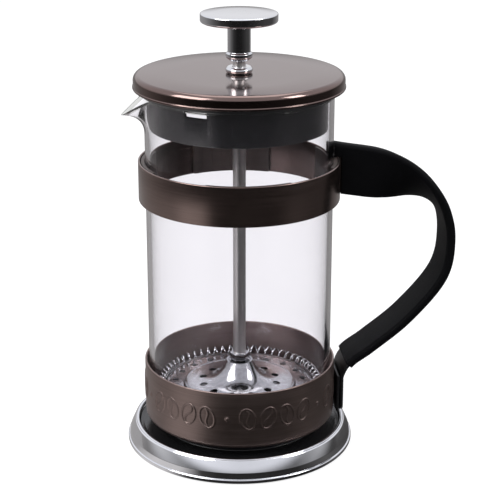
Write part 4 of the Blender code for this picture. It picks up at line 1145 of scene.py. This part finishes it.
# ---------------------------------------------------------------- plunger
KNOB_DISC = 3.8 * MM
KNOB_STEM = 4.36 * MM
KNOB_BEAD = 5.07 * MM
KNOB_BORE_DEPTH = 9.3 * MM
HUB_WALL = 1.3 * MM
COIL_TURNS = 60
COIL_STEPS = 18  # points in each turn
COIL_WIRE = 0.32 * MM
PLATE_THICKNESS = 0.6 * MM
PLATE_NECK = 4.0  # how steeply the spring plate falls from its hub
FOLD_RADIUS = 21.0 * MM
FOLD_LIFT = 1.2 * MM
FOLD_WIDTH = 1.6 * MM
HOLE_RING = 15.0 * MM
WEAVE = 1100.0  # radians of weave in a metre


def make_knob():
    knob_low, knob_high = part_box("knob")
    radius = knob_high.x
    top = knob_high.z
    bottom = knob_low.z
    bore = high("plunger_rod").x + ROD_CLEARANCE
    disc = top - KNOB_DISC
    outline = rounded([
        (0.0, top, 0),
        (radius * 0.6, top - 0.02 * MM, 0),
        (radius, top - 0.12 * MM, 0.45 * MM),
        (radius, disc + 0.25 * MM, 0.9 * MM),
        (KNOB_STEM + 1.0 * MM, disc - 0.1 * MM, 0.3 * MM),
        (KNOB_STEM, disc - 0.6 * MM, 0.4 * MM),
        (KNOB_STEM, bottom + 3.3 * MM, 0.3 * MM),
        (KNOB_BEAD, bottom + 2.7 * MM, 0.35 * MM),
        (KNOB_BEAD, bottom + 1.2 * MM, 0.9 * MM),
        (bore + 0.9 * MM, bottom, 0.5 * MM),
        (bore, bottom, 0.1 * MM),
        (bore, bottom + KNOB_BORE_DEPTH, 0.2 * MM),
        (0.0, bottom + KNOB_BORE_DEPTH, 0),
    ])
    place(lathe("knob_fine", outline, SMALL, closed=False), "rod", "chrome_fittings", "knob")


def make_rod():
    rod_low, rod_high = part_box("plunger_rod")
    radius = rod_high.x
    outline = rounded([
        (0.0, rod_high.z, 0), (radius, rod_high.z, 0.4 * MM),
        (radius, rod_low.z, 0.4 * MM), (0.0, rod_low.z, 0),
    ])
    place(lathe("plunger_rod_fine", outline, SMALL, closed=False), "rod", "rod_steel", "plunger_rod")


def make_edge_spring():
    """A closed coil round the filter's edge."""
    coil_low, coil_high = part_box("edge_spring")
    coil = (coil_high.z - coil_low.z) / 2 - COIL_WIRE
    circle = high("spring_plate").x + GAP + COIL_WIRE + coil
    level = (coil_low.z + coil_high.z) / 2
    count = COIL_TURNS * COIL_STEPS
    curve = bpy.data.curves.new("edge_spring_line", "CURVE")
    curve.dimensions = "3D"
    curve.bevel_depth = COIL_WIRE
    curve.bevel_resolution = 2
    spline = curve.splines.new("POLY")
    spline.points.add(count - 1)
    for i, point in enumerate(spline.points):
        round_press = math.tau * i / count
        round_coil = math.tau * i / COIL_STEPS
        away = circle + coil * math.cos(round_coil)
        point.co = (away * math.cos(round_press), away * math.sin(round_press),
                    level + coil * math.sin(round_coil), 1.0)
    spline.use_cyclic_u = True
    line = add_object("edge_spring_line", curve)
    mesh = bpy.data.meshes.new_from_object(line.evaluated_get(bpy.context.evaluated_depsgraph_get()))
    bpy.data.objects.remove(line, do_unlink=True)
    mesh.shade_smooth()
    spring = add_object("edge_spring_fine", mesh)
    place(spring, "filter", "filter_steel", "edge_spring", material=COILED_STEEL)


def hub_clearance():
    """The radius that clears the cross plate's hub."""
    return high("plunger_rod").x + GAP + HUB_WALL + GAP


def make_spring_plate():
    """A pressed disc: a domed middle, a fold, and a flange with holes."""
    plate_low, plate_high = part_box("spring_plate")
    hub = hub_clearance()
    radius = plate_high.x
    bottom = plate_low.z
    fold = bottom + FOLD_LIFT
    rise = plate_high.z - PLATE_THICKNESS - fold
    start = hub + 0.8 * MM
    upper = [(hub, fold + rise)]
    for i in range(13):
        share = i / 12
        upper.append((start + (FOLD_RADIUS - start) * share, fold + rise * (1 - share) ** PLATE_NECK))
    upper += [(FOLD_RADIUS + 0.4 * MM, fold + 0.25 * MM), (FOLD_RADIUS + 0.9 * MM, fold + 0.1 * MM)]
    upper += [(FOLD_RADIUS + FOLD_WIDTH, bottom), (radius, bottom)]
    top_side = [(r, z + PLATE_THICKNESS) for r, z in upper]
    plate = lathe("spring_plate_fine", top_side + list(reversed(upper)), WIDE, degrees=25.0)
    cutters = []
    flange = (FOLD_RADIUS + FOLD_WIDTH + radius) / 2
    for count, away, size, turn in ((20, flange, 1.3 * MM, 0.25), (12, HOLE_RING, 1.5 * MM, 0.4)):
        for number in range(count):
            angle = math.tau * (number + turn) / count
            cutter = pill("plate_cutter", size, bottom - 2 * MM, bottom + 5 * MM)
            cutter.location = (away * math.cos(angle), away * math.sin(angle), 0.0)
            cutters.append(cutter)
    bpy.context.view_layer.update()
    joined = bmesh.new()
    for cutter in cutters:
        part = cutter.data.copy()
        part.transform(cutter.matrix_world)
        joined.from_mesh(part)
        bpy.data.meshes.remove(part)
        bpy.data.objects.remove(cutter, do_unlink=True)
    cut(plate, [add_piece("plate_holes", joined)], 25.0)
    place(plate, "filter", "filter_steel", "spring_plate")


def make_mesh_filter():
    mesh_low, mesh_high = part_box("mesh_filter")
    hub = hub_clearance()
    radius = mesh_high.x
    outline = rounded([
        (hub, mesh_high.z, 0.1 * MM), (radius, mesh_high.z, 0.2 * MM),
        (radius, mesh_low.z, 0.2 * MM), (hub, mesh_low.z, 0.1 * MM),
    ])
    woven = finish(
        "woven_steel", ((0.18, 0.18, 0.19), (0.55, 0.55, 0.57)), (0.25, 0.4), 900.0,
        bump=0.3, depth=0.1 * MM, metallic=1.0,
    )
    nodes = woven.node_tree.nodes
    links = woven.node_tree.links
    coords = add_node(nodes, "TexCoord")
    weave = add_node(nodes, "Math", "MAXIMUM")
    for number, direction in enumerate(("X", "Y")):
        wave = add_node(nodes, "TexWave", Scale=WEAVE / math.tau)
        wave.bands_direction = direction
        links.new(coords.outputs["Object"], wave.inputs["Vector"])
        links.new(wave.outputs["Fac"], weave.inputs[number])
    bump = next(n for n in nodes if n.type == "BUMP")
    links.new(weave.outputs["Value"], bump.inputs["Height"])
    bump.inputs["Strength"].default_value = 0.8
    place(lathe("mesh_filter_fine", outline), "filter", "filter_steel", "mesh_filter", material=woven)


def make_filter():
    make_spring_plate()
    make_mesh_filter()
    make_edge_spring()
    nut_low, nut_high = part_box("filter_nut")
    bore = high("plunger_rod").x + ROD_CLEARANCE
    nut = hex_nut("filter_nut_fine", nut_high.x, bore, nut_low.z, nut_high.z)
    place(nut, "filter", "filter_steel", "filter_nut")


def paint_cad_nodes():
    """The CAD nodes that stay as they are get the slots' own materials."""
    slots = {
        "base_screw_": "screw_steel", "band_pad_": "brown_pad", "upper_rivet_": "screw_steel",
        "cross_plate": "filter_steel",
    }
    for name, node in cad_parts.items():
        for start, slot in slots.items():
            if name.startswith(start):
                node.data.materials.clear()
                node.data.materials.append(MATERIALS[slot])


# ---------------------------------------------------------------- the whole scene
bpy.context.scene.view_settings.view_transform = "Standard"
add_camera()
add_world()
add_floor()
add_softbox("softbox_left", -58.0, 36.0, 0.75, (0.46, 0.40), 3.4)
add_softbox("softbox_right", 66.0, 36.0, 0.80, (0.24, 0.34), 2.0)
add_softbox("softbox_top", 180.0, 68.0, 0.95, (0.7, 0.7), 2.5)
make_base()
make_lower_cup()
make_upper_band()
make_handle()
make_beaker()
make_lid()
make_lid_bush()
make_knob()
make_rod()
make_filter()
paint_cad_nodes()
